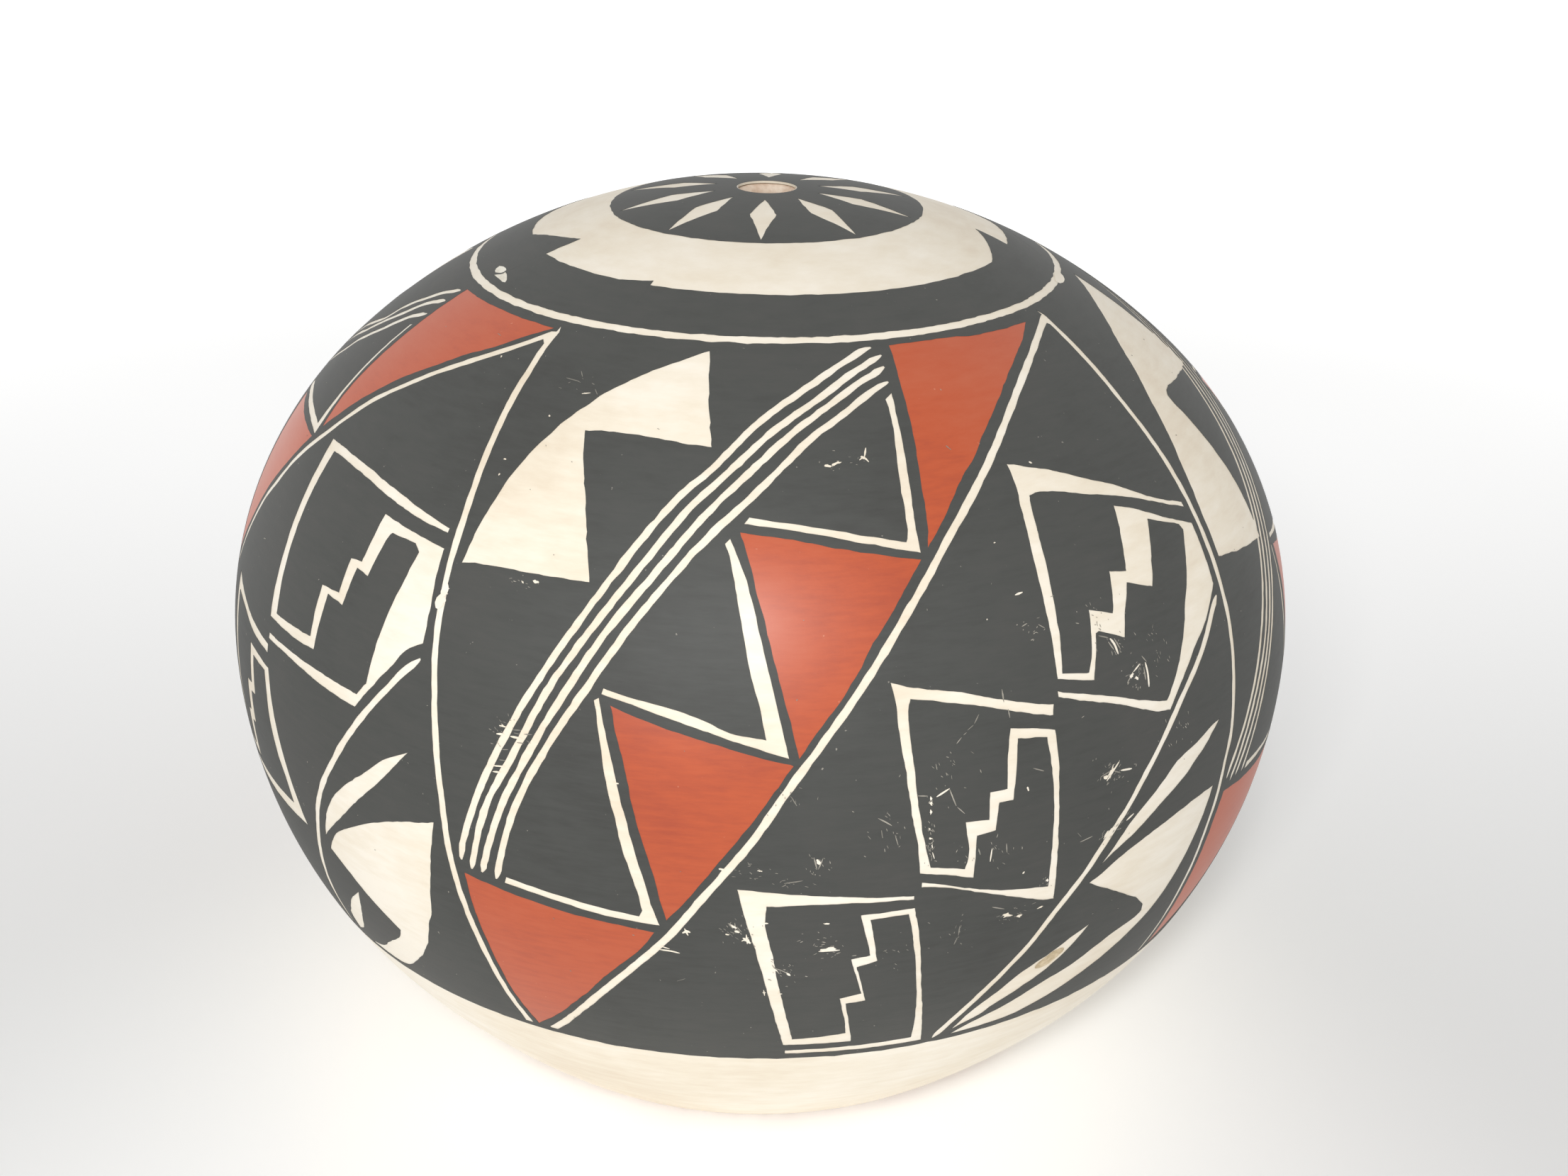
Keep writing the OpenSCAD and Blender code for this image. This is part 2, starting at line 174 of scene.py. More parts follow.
def slip_clay(name, pale, warm, shade, gloss):
    """White slip wiped on in thin coats and rubbed with a smooth stone."""
    # the stone leaves a soft sheen, the rag faint level streaks about 8 mm long and 1.6 mm
    # apart, and the fire warm clouds about 40 mm wide
    material, tree, place = new_material(name)
    level = add(tree, "ShaderNodeMapping", Vector=place, Scale=(1.0, 1.0, 5.0)).outputs[0]
    both = blend(tree, 0.35, pattern(tree, place, 40, 4.0, 0.6), pattern(tree, level, 8, 5.0, 0.65))
    surface(tree, Roughness=gloss,
            Base_Color=shades(tree, both, (0.34, shade), (0.47, warm), (0.62, pale)),
            Normal=relief(tree, pattern(tree, place, 0.7, 2.0), 0.10, 0.1))
    return material


def brushed_paint(name, deep, body, worn, gloss, fleck, grain, polish=0.0):
    """Mineral colour laid with a chewed-leaf brush over the slip and fired on."""
    # it dries with level brush streaks about 6.5 mm long and 0.9 mm apart, cloudy where it
    # lies thin, and shows a few pale specks, under 1 mm wide, where it has worn through
    material, tree, place = new_material(name)
    level = add(tree, "ShaderNodeMapping", Vector=place, Rotation=(0.5, 0.35, 0.6),
                Scale=(1.0, 1.0, 7.0)).outputs[0]
    both = blend(tree, 0.4, pattern(tree, place, 40, 5.0, 0.62),
                 pattern(tree, level, 6.5, 4.0, 0.7))
    dust = pattern(tree, place, 1.1, 2.0, 0.8)
    specks = add(tree, "ShaderNodeMapRange", i0=dust, i1=0.74, i2=0.80, i3=0.0, i4=grain)
    mix = add(tree, "ShaderNodeMix", {"data_type": "RGBA"}, i0=specks.outputs[0],
              i6=shades(tree, both, (0.3, deep), (0.5, body), (0.72, worn)), i7=fleck)
    surface(tree, Roughness=gloss, Base_Color=mix.outputs[2],
            Normal=relief(tree, dust, 0.12, 0.1), Coat_Weight=polish, Coat_Roughness=0.34)
    return material


def plain_clay(name, pale, dark):
    """Low-fired clay left bare, or laid bare by wear."""
    # dry and sandy to look at, with clots of temper about 3 mm apart
    material, tree, place = new_material(name)
    body = pattern(tree, place, 3, 6.0, 0.7)
    surface(tree, Roughness=0.85, Base_Color=shades(tree, body, (0.35, dark), (0.6, pale)),
            Normal=relief(tree, body, 0.3, 0.2))
    return material


def once(name, maker, *looks):
    """A material made the first time it is asked for."""
    return bpy.data.materials.get(name) or maker(name, *looks)


def chosen(name):
    """A colour set in the panel."""
    return list(getattr(bpy.context.scene.jar_looks, name)) + [1.0]


def stone_polished_slip():
    """The white ground: creamy, warmer in clouds, with the low sheen of stone polish."""
    return once("stone_polished_white_slip", slip_clay, chosen("slip_pale"), chosen("slip_warm"),
                tint("#E2D3BC"), 0.46)


def black_mineral_paint():
    """The black: matt and soft, a charcoal that never gets glossy."""
    return once("black_mineral_paint", brushed_paint, tint("#333330"), chosen("black"),
                tint("#464542"), 0.62, tint("#B9B2A6"), 0.55)


def rubbed_black_paint():
    """The black where handling has rubbed it thin: grey, with the slip showing through."""
    return once("black_mineral_paint_rubbed_thin", brushed_paint, tint("#5E5C57"),
                tint("#8B867C"), tint("#C9C2B4"), 0.58, tint("#E4DCCB"), 0.5)


def red_ochre_slip():
    """The red: brick to orange, a little polished, so that the lamp shows in it."""
    return once("red_ochre_slip", brushed_paint, tint("#9E3A15"), chosen("red"), tint("#B95730"),
                0.5, tint("#DDA98A"), 0.3, 0.4)


def chipped_slip():
    """Broken slip over pale clay: chalky, paler and rougher than what is round it."""
    return once("chipped_slip_over_pale_clay", plain_clay, tint("#F3EFE2"), tint("#D6CDBB"))


def stained_slip():
    """Slip that the firing has stained: a dull brown, blotchy spot."""
    return once("slip_stained_brown_in_the_firing", plain_clay, tint("#D9C7A8"), tint("#A08B66"))


def bare_fired_clay():
    """The clay itself, inside and at the foot: pinkish, dry and grainy."""
    return once("bare_fired_clay", plain_clay, tint("#E6D6C4"), tint("#CDB49E"))


# The wall

def tangent(arc, angle, radius):
    """The arc of another radius that carries on from an arc at an angle on it."""
    turn, gap = math.radians(angle), arc[2] - radius
    return arc[0] + gap * math.cos(turn), arc[1] + gap * math.sin(turn), radius, angle


def with_starts(arcs):
    """Each arc with the distance down the wall at which it begins."""
    starts = [0.0]
    for arc, after in zip(arcs, arcs[1:]):
        starts.append(starts[-1] + arc[2] * math.radians(arc[3] - after[3]))
    return list(zip(starts, arcs))


# each arc is (radius and height of its centre, its own radius, angle at which it begins)
SHOULDER = (BELLY_R - SHOULDER_ARC, BELLY_Z, SHOULDER_ARC, SHOULDER_TURN)
DOME_ARC = SHOULDER_ARC + SHOULDER[0] / math.cos(math.radians(SHOULDER_TURN))
DOME = (*tangent(SHOULDER, SHOULDER_TURN, DOME_ARC)[:3], 90.0)
BELLY = tangent(SHOULDER, 0.0, BELLY_ARC)
LOWER = tangent(BELLY, -BELLY_TURN, LOWER_ARC)
ARCS = with_starts((DOME, SHOULDER, BELLY, LOWER))


def arc_at(s):
    """The arc that holds a point s mm down the wall, and the point's angle on it."""
    start, arc = next(pair for pair in reversed(ARCS) if s >= pair[0])
    return arc, math.radians(arc[3]) - (s - start) / arc[2]


def wall(s, depth=0.0):
    """(radius, height) of the wall s mm down from the top and depth mm under it."""
    arc, angle = arc_at(s)
    return (arc[0] + (arc[2] - depth) * math.cos(angle),
            arc[1] + (arc[2] - depth) * math.sin(angle))


def wall_run(s0, s1, depth, count):
    """Points of the wall from s0 to s1, depth mm under it."""
    return [wall(s0 + (s1 - s0) * i / count, depth) for i in range(count + 1)]


def outward(lon, s):
    """The direction that the wall faces."""
    angle = arc_at(s)[1]
    turn = math.radians(lon)
    return Vector((math.cos(angle) * math.sin(turn), -math.cos(angle) * math.cos(turn),
                   math.sin(angle)))


def spot(lon, s, lift=0.0):
    """A point lift mm over the turned wall, in mm."""
    radius, height = wall(s, -lift)
    turn = math.radians(lon)
    return Vector((radius * math.sin(turn), -radius * math.cos(turn), height))


def hollow(lon, s):
    """How far the hand-built wall dips under the turned shape here, in mm."""
    uneven = bpy.context.scene.jar_looks.uneven / MM
    share = 0.5 + 0.5 * noise.noise(spot(lon, s) * WALL_DIPS)
    return uneven * share * min(1.0, max(0.0, (FOOT_S - s) / 20))


def on_wall(lon, s, lift):
    """A point of the hand-built surface in metres."""
    return spot(lon, s, lift - hollow(lon, s)) * MM


def size_at(point):
    """mm per degree round the wall at a point."""
    return max(wall(point[1])[0], 1.0) * math.pi / 180


# Drawing on the wall, where a point is (degrees round from the front, mm down from the top)

def unroll(point):
    """The side of the wall laid flat."""
    return Vector((point[0] * FLAT_DEGREE, point[1]))


def roll(flat):
    """A flat point back on the side of the wall."""
    return flat[0] / FLAT_DEGREE, flat[1]


def open_out(point):
    """The top of the wall laid flat as a disc."""
    turn = math.radians(point[0])
    return Vector((point[1] * math.sin(turn), -point[1] * math.cos(turn)))


def fold_back(flat):
    """A flat point back on the top of the wall."""
    return math.degrees(math.atan2(flat[0], -flat[1])), math.hypot(flat[0], flat[1])


def oval(across, along, wide, high, angles=range(0, 360, 12), lean=0.0):
    """Points on an oval or a part of one."""
    turns = [math.radians(a) for a in angles]
    return [(across + wide * math.cos(a), along + high * math.sin(a) + lean * math.cos(a))
            for a in turns]


def circle_at(s, count=360):
    """A circle round the pot."""
    return [(i * 360 / count - 180, s) for i in range(count)]


def level_run(start, end, s, count):
    """Points round the pot from one place to another, all as far down."""
    return [(start + (end - start) * i / count, s) for i in range(count + 1)]


def corner_at(before, here, after):
    """Whether an outline turns sharply at a point."""
    k = size_at(here)
    a = Vector(((here[0] - before[0]) * k, here[1] - before[1]))
    b = Vector(((after[0] - here[0]) * k, after[1] - here[1]))
    return a.length < 1e-6 or b.length < 1e-6 or math.degrees(abs(a.angle_signed(b))) > CORNER


def curve_through(points, step=0.9):
    """Points about step mm apart on a smooth curve through a run of points."""
    ends = [points[0], *points, points[-1]]
    out = []
    for p0, p1, p2, p3 in zip(ends, ends[1:], ends[2:], ends[3:]):
        length = math.hypot((p2[0] - p1[0]) * size_at(p1), p2[1] - p1[1])
        count = max(1, round(length / step))
        for i in range(count):
            t = i / count
            out.append(tuple(
                0.5 * (2 * b + (c - a) * t + (2 * a - 5 * b + 4 * c - d) * t * t
                       + (3 * b - a - 3 * c + d) * t ** 3)
                for a, b, c, d in zip(p0, p1, p2, p3)))
    out.append(tuple(points[-1]))
    return out


def drawn_outline(points, step=0.9):
    """A closed outline, curved between its corners."""
    count = len(points)
    corners = [i for i in range(count)
               if corner_at(points[i - 1], points[i], points[(i + 1) % count])] or [0]
    out = []
    for a, b in zip(corners, corners[1:] + [corners[0] + count]):
        run = [points[i % count] for i in range(a, b + 1)]
        out += curve_through(run, step)[:-1]
    return out


def wander(place):
    """Noise across and down the wall, the same in every run."""
    # noise.noise_vector isn't used, because it shifts its pattern by the clock
    return noise.noise(place), noise.noise(place + Vector((31.4, 17.2, 5.9)))


def shaky(points, amount=1.0):
    """The small wander of a brush edge, slow with a quicker one on top."""
    reach = bpy.context.scene.jar_looks.brush_shake / MM * amount
    out = []
    for lon, s in points:
        slow, quick = wander(spot(lon, s) * SLOW_EDGE), wander(spot(lon, s) * QUICK_EDGE)
        across, down = (a + 0.6 * b for a, b in zip(slow, quick))
        out.append((lon + reach * across / size_at((lon, s)), s + reach * down))
    return out


def moved_across(line, reach):
    """A line's points moved sideways by what reach gives for each, in mm, a little unevenly."""
    out = []
    for i, (lon, s) in enumerate(line):
        before, after = line[max(i - 1, 0)], line[min(i + 1, len(line) - 1)]
        k = size_at((lon, s))
        across = Vector((-(after[1] - before[1]), (after[0] - before[0]) * k)).normalized()
        far = reach(i) * (1 + 0.18 * noise.noise(spot(lon, s) * LINE_SWELLS))
        out.append((lon + across.x * far / k, s + across.y * far))
    return out


def beside(points, offset):
    """A curve that runs offset mm to one side of a line of points."""
    return moved_across(curve_through(points), lambda i: offset)


def stroke(points, width, blunt=0.25, step=0.9):
    """The outline of one brush line with uneven width and rounded ends."""
    line = curve_through(points, step)

    def half(i):
        from_end = min(i, len(line) - 1 - i) / 2.0
        return width / 2 * (blunt + (1 - blunt) * min(1.0, from_end))

    return moved_across(line, half) + moved_across(line, lambda i: -half(i))[::-1]


def area(loop):
    """Area of a flat outline, negative where it runs clockwise."""
    return sum(a.cross(b) for a, b in zip(loop, loop[1:] + loop[:1])) / 2


def patch(outer, holes=(), top=False, spacing=2.4):
    """Points and triangles that fill an outline on the wall and leave its holes open."""
    flatten, restore = (open_out, fold_back) if top else (unroll, roll)
    loops = [[flatten(p) for p in loop] for loop in (outer, *holes)]
    loops = [loop if area(loop) > 0 else loop[::-1] for loop in loops]
    points, edges, faces = [], [], []
    for loop in loops:
        ring = list(range(len(points), len(points) + len(loop)))
        points += loop
        edges += list(zip(ring, ring[1:] + ring[:1]))
        faces.append(ring)
    xs, ys = [p.x for p in loops[0]], [p.y for p in loops[0]]
    row, y = 0, min(ys) + spacing
    while spacing and y < max(ys):
        x = min(xs) + spacing * (0.5 if row % 2 else 1.0)
        while x < max(xs):
            points.append(Vector((x, y)))
            x += spacing
        row += 1
        y += spacing * 0.87
    found = geometry.delaunay_2d_cdt(points, edges, faces, 0, 1e-4)
    flat, tris, origin = found[0], found[2], found[5]
    kept = [t for t, o in zip(tris, origin) if 0 in o and max(o) == 0]
    used = sorted({i for t in kept for i in t})
    place = {old: new for new, old in enumerate(used)}
    return [restore(flat[i]) for i in used], [tuple(place[i] for i in t) for t in kept]


# Meshes

def placed(name, data):
    """A new object in the scene for a mesh, a lamp or a camera."""
    thing = bpy.data.objects.new(name, data)
    bpy.context.scene.collection.objects.link(thing)
    return thing


def layer_mesh(name, patches, lift, thick, material):
    """A thin closed layer of paint or slip over patches of the wall."""
    verts, faces, normals = [], [], []
    for spots, tris in patches:
        top = len(verts)
        low = top + len(spots)
        verts += [on_wall(lon, s, lift) for lon, s in spots]
        verts += [on_wall(lon, s, lift - thick) for lon, s in spots]
        out = [outward(lon, s) for lon, s in spots]
        sides = {}
        for t in tris:
            a, b, c = (verts[top + i] for i in t)
            if (b - a).cross(c - a).dot(out[t[0]]) < 0:
                t = (t[0], t[2], t[1])
            faces += [[top + i for i in t], [low + i for i in reversed(t)]]
            normals += [out[i] for i in t] + [-out[i] for i in reversed(t)]
            for a, b in zip(t, t[1:] + t[:1]):
                if (b, a) in sides:
                    del sides[(b, a)]
                else:
                    sides[(a, b)] = True
        for a, b in sides:
            face = [top + b, top + a, low + a, low + b]
            p, q, r = (verts[i] for i in face[:3])
            side = (q - p).cross(r - p)
            faces.append(face)
            normals += [side.normalized() if side.length > 0 else out[a]] * 4
    mesh = bpy.data.meshes.new(name)
    mesh.from_pydata(verts, [], faces)
    mesh.normals_split_custom_set([tuple(n) for n in normals])
    mesh.materials.append(material)
    return placed(name, mesh)


def turned_mesh(name, profile, material, count=288):
    """A closed ring or disc turned from a list of (radius, height) points in mm."""
    verts, rims, faces = [], [], []
    for radius, height in profile:
        if radius < 1e-6:
            rims.append([len(verts)] * count)
            verts.append(Vector((0, 0, height)) * MM)
        else:
            rims.append(list(range(len(verts), len(verts) + count)))
            verts += [Vector((radius * math.sin(math.tau * i / count),
                              -radius * math.cos(math.tau * i / count), height)) * MM
                      for i in range(count)]
    for a, b in zip(rims, rims[1:] + rims[:1]):
        for i in range(count):
            j = (i + 1) % count
            face = [a[i], a[j], b[j], b[i]]
            face = [v for n, v in enumerate(face) if v != face[n - 1]]
            if len(set(face)) > 2:
                faces.append(face)
    mesh = bpy.data.meshes.new(name)
    mesh.from_pydata(verts, [], faces)
    mesh.validate()
    mesh.materials.append(material)
    mesh.shade_smooth()
    mesh.set_sharp_from_angle(angle=math.radians(50))
    return placed(name, mesh)


def fit_to_jar(piece, slot, *nodes):
    """Sets a piece on the pot, in place of the nodes that it shows."""
    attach(piece, "root")
    if nodes:
        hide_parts(*nodes)


# The drawings. The front panel's lines and shapes come first, and LEFT and RIGHT mark those
# that differ where a slice of the next panel shows.

FRONT_UPRIGHT = [(-35.1, 55.3), (-34.9, 59), (-34.4, 63), (-33.8, 69), (-33, 75), (-32.3, 80.5),
                 (-31.5, 87), (-31.1, 92), (-30.7, 98), (-30.3, 102.5), (-29.9, 107.5),
                 (-29.2, 113), (-28.5, 119), (-27.9, 125), (-27.3, 131), (-26.9, 138),
                 (-26.4, 144), (-25.7, 150.5), (-25, 156), (-24.2, 163), (-23.5, 168.5),
                 (-22.8, 173), (-22.6, 174.9)]
RIGHT_UPRIGHT = [(58.4, 55.3), (57.6, 63), (57.1, 68), (56.5, 74), (56.2, 80), (56, 86),
                 (55.8, 92), (55.6, 99), (55.4, 106), (55.2, 112), (54.8, 118), (54.3, 124),
                 (53.8, 131), (53, 136), (52.5, 142), (51.8, 148), (51.4, 154), (50.9, 160),
                 (50.5, 166), (49.6, 174.9)]
FRONT_SWEEP = [(58.2, 55.8), (55, 57.1), (50, 59.5), (45, 62.5), (40, 66.2), (35, 70.9),
               (30.2, 76.4), (26, 81.7), (21.8, 87.6), (18.5, 93.2), (15.5, 98.7),
               (12.5, 104.8), (9.5, 111), (6.5, 117.3), (3.9, 123.2), (1.5, 129.5),
               (-0.7, 134.5), (-3.3, 140.5), (-6.2, 147.5), (-9.9, 154.9), (-12.9, 161),
               (-15.4, 166.3), (-17.9, 171.4), (-19.8, 174.9)]
LEFT_SWEEP = [(-35.6, 55.8), (-40, 59.9), (-45, 64.3), (-50, 69), (-54, 73.6), (-57.5, 78.2),
              (-60, 83.2), (-62, 87.5), (-63.9, 91), (-65.8, 95.2), (-67.3, 99.6),
              (-69.2, 104.2), (-70.9, 109.7), (-73.5, 117), (-76.5, 124), (-80, 131),
              (-84, 138), (-88.5, 146), (-94, 155), (-100, 164), (-108, 174.9)]

LENS = [(-7.1, 54.8), (-10, 56.4), (-15, 59.6), (-20, 64.2), (-23.3, 68.9), (-25, 72.2),
        (-26.1, 75), (-27.1, 78), (-27.8, 80.8), (-28.3, 84.4), (-28.9, 88.3), (-29.2, 91.1),
        (-29.5, 95.6), (-26.9, 95), (-20, 94.75), (-15.1, 94.7), (-15.7, 91.7), (-17.2, 85),
        (-18.5, 80.3), (-20, 75.6), (-21, 71.7), (-17.8, 71.3), (-12.2, 71.4), (-8.1, 72),
        (-4.4, 72.3), (-5.6, 65), (-6.5, 58)]
RIGHT_LENS = [(89.1, 55.6), (84.8, 57.3), (79.8, 59.4), (76, 61.5), (71, 65.2), (68.3, 68.1),
              (65.2, 72.7), (62.9, 76.5), (61.4, 80), (60, 83.8), (58.7, 87.7), (57.7, 92.3),
              (57.15, 96.2), (56.8, 103.3), (63.7, 105.4), (69.5, 106.9), (69.5, 98),
              (69, 91.5), (68.5, 86.2), (67.8, 80), (68.1, 78.3), (70.2, 77.4), (77.5, 78.4),
              (82.9, 79.4), (86.4, 80), (87.2, 73), (88.1, 63.5)]

FINE_LINES = [
    [(19.6, 54.3), (17.7, 54.9), (15.1, 56.45), (12.1, 58.4), (9.3, 60.5), (4.2, 64.8),
     (1.2, 68), (-1.2, 71.3), (-4, 75.9), (-7.1, 80.3), (-10, 86.2), (-12.3, 92),
     (-15.25, 100), (-18.6, 110), (-21.5, 120), (-23.9, 130), (-25.4, 138), (-25.5, 140)],
    [(20.9, 55.9), (18, 57.5), (15.1, 59.15), (10.7, 62.6), (7, 65.7), (3.9, 68.5),
     (0.9, 72.1), (-1.5, 75.5), (-3.8, 78.9), (-6, 82.3), (-8.65, 88), (-13.6, 100),
     (-17.2, 110), (-19.9, 120), (-22.7, 130), (-24.5, 141.1)],
    [(20.6, 58.3), (18.2, 59.7), (15.1, 61.5), (10.7, 65), (7.05, 68.2), (4, 71.4),
     (1.5, 74.7), (-0.7, 77.8), (-3.5, 82), (-6.6, 88), (-12.05, 100), (-15.55, 110),
     (-18.6, 120), (-21.3, 130), (-23.4, 141.2)],
    [(20.2, 61.2), (17.9, 62.4), (15.1, 64.4), (11.8, 67.2), (8.4, 70.1), (5.4, 73.6),
     (2.6, 77.5), (0.1, 81.1), (-2.7, 85), (-4.5, 88), (-6, 90.8), (-10.25, 100),
     (-13.95, 110), (-17.35, 120), (-20, 130), (-21.95, 141.7)]]
LEFT_FINE_LINES = [
    [(-67.9, 55.8), (-71.9, 58.1), (-74.6, 60.8), (-77.3, 63.5), (-79.6, 66.5),
     (-81.5, 70.4), (-85.4, 73.8), (-89.2, 77.3), (-95, 86), (-101, 98), (-107, 112),
     (-113, 127), (-117.5, 140)],
    [(-67.9, 58.8), (-70.8, 60.4), (-73.5, 62.7), (-75.8, 65.8), (-78.1, 68.5),
     (-80.8, 71.5), (-84.2, 75.4), (-88.1, 79.2), (-93.4, 88), (-99.4, 100), (-105.2, 113),
     (-111.2, 128), (-115.9, 140.6)],
    [(-67.9, 62.5), (-71.2, 64.6), (-73.8, 67.3), (-76.5, 70.8), (-79.2, 73.8),
     (-81.9, 76.9), (-84.2, 80.8), (-91.6, 90), (-97.6, 102), (-103.3, 114.5),
     (-109.4, 129), (-114.2, 141.2)]]

BENT_STRIPS = [
    [(20.1, 63.4), (19.7, 68), (19.1, 75), (18.6, 80.5), (18.2, 86.1), (18.2, 89.7),
     (16.2, 88.9), (12.1, 87.5), (7.9, 86.1), (3.7, 85.1), (0, 84.4), (0.5, 83.4),
     (3.7, 84.1), (7.9, 85), (12.1, 86.3), (16.9, 87.9), (17.3, 86.1), (17.6, 79.4),
     (18.2, 73.6), (18.9, 68), (18.9, 64.4)],
    [(-1.4, 86.7), (0.4, 92.7), (1.5, 98.6), (2.3, 103.6), (3.3, 109.9), (4, 114.7),
     (4.4, 117.5), (0.1, 115.4), (-4, 113.4), (-7.2, 112), (-10, 110.8), (-12.3, 110),
     (-12.2, 109.2), (-10, 110), (-6, 111.1), (-3.2, 112.3), (-0.7, 114), (2.4, 114.9),
     (1.9, 110.8), (0.9, 105.2), (0, 98.6), (-1, 91.3), (-1.9, 87.4)],
    [(-12.5, 110.6), (-11.7, 115.2), (-10.8, 119.9), (-10.1, 124.4), (-9.4, 128.3),
     (-8.1, 136.4), (-7.4, 141.1), (-6.7, 145), (-8.9, 144.7), (-12.2, 144.2),
     (-16.4, 143), (-21.1, 142), (-20.9, 140.8), (-16.4, 141.9), (-12.2, 142.9),
     (-8.5, 143.6), (-8.2, 142.5), (-8.6, 139.2), (-9.4, 134.7), (-9.9, 132),
     (-10.6, 126.9), (-11.4, 122.4), (-11.9, 118), (-12.9, 111)]]
LEFT_BENT_STRIP = [(-68.2, 65.4), (-67.7, 73), (-66.9, 79), (-65.8, 84), (-64.9, 89.2),
                   (-70.8, 88.6), (-79.6, 88.9), (-86, 90), (-86, 88.8), (-79.6, 87.6),
                   (-70.8, 87.4), (-66.3, 87.7), (-67.6, 79), (-68.4, 73), (-68.8, 65.8)]

REDS = [
    [(22.9, 54.15), (26, 54.1), (34.9, 54.3), (40, 54.9), (52.7, 55.2), (48.2, 58),
     (44.9, 60), (41.6, 62.2), (38.5, 64.6), (35.4, 67.5), (32.9, 70), (30.2, 73),
     (27.4, 76.7), (25.4, 78.9), (22.9, 82.8), (20.4, 86.9), (19.1, 89), (19.7, 84.7),
     (20.1, 79.2), (21.1, 70.8), (21.8, 63.3)],
    [(-0.4, 85.7), (5.7, 86.9), (10.7, 88.5), (18.1, 90.7), (16.2, 94.1), (14.6, 97.4),
     (12.3, 101.9), (10.7, 105.8), (9, 109.7), (6.8, 114.1), (5.3, 117.5), (4.4, 111.6),
     (3.4, 105.8), (2.5, 100.2), (1.5, 94.7), (0.5, 89.4)],
    [(-11.4, 111.5), (-7.8, 113.3), (-4, 114.8), (0.9, 117), (4.8, 118.6), (3.2, 122.4),
     (1.8, 125.8), (0.1, 129.7), (-2.1, 134.7), (-4.2, 139.9), (-6.1, 143.9),
     (-6.5, 141.1), (-7.2, 135.6), (-8.2, 130), (-8.9, 126), (-9.7, 120.2),
     (-10.6, 115.8)],
    [(-25.3, 142.2), (-20.6, 143.6), (-15, 145), (-10, 145.8), (-7.2, 146.4),
     (-8.9, 150.6), (-11.7, 155.8), (-13.9, 160.6), (-16.1, 165), (-18.3, 169.4),
     (-21.4, 174.4), (-21.8, 172.2), (-22.8, 166.9), (-23.6, 160), (-24.4, 153),
     (-25, 147.2)]]
LEFT_REDS = [
    [(-66.5, 54.8), (-50, 54.5), (-36.2, 54.7), (-40, 57.7), (-43.8, 61.2),
     (-47.7, 64.2), (-51.5, 68.1), (-55.4, 72.1), (-58.1, 75.8), (-60.4, 79.6),
     (-62.7, 84.2), (-64.2, 87.3), (-65.8, 80.8), (-66.5, 75), (-66.7, 65)],
    [(-83, 90.2), (-74, 89.9), (-65.2, 89.8), (-66.5, 93.5), (-68.1, 97.7), (-70, 103.1),
     (-71.5, 108.5), (-73.4, 113.4), (-75.4, 118), (-77.6, 110), (-80.4, 100)]]

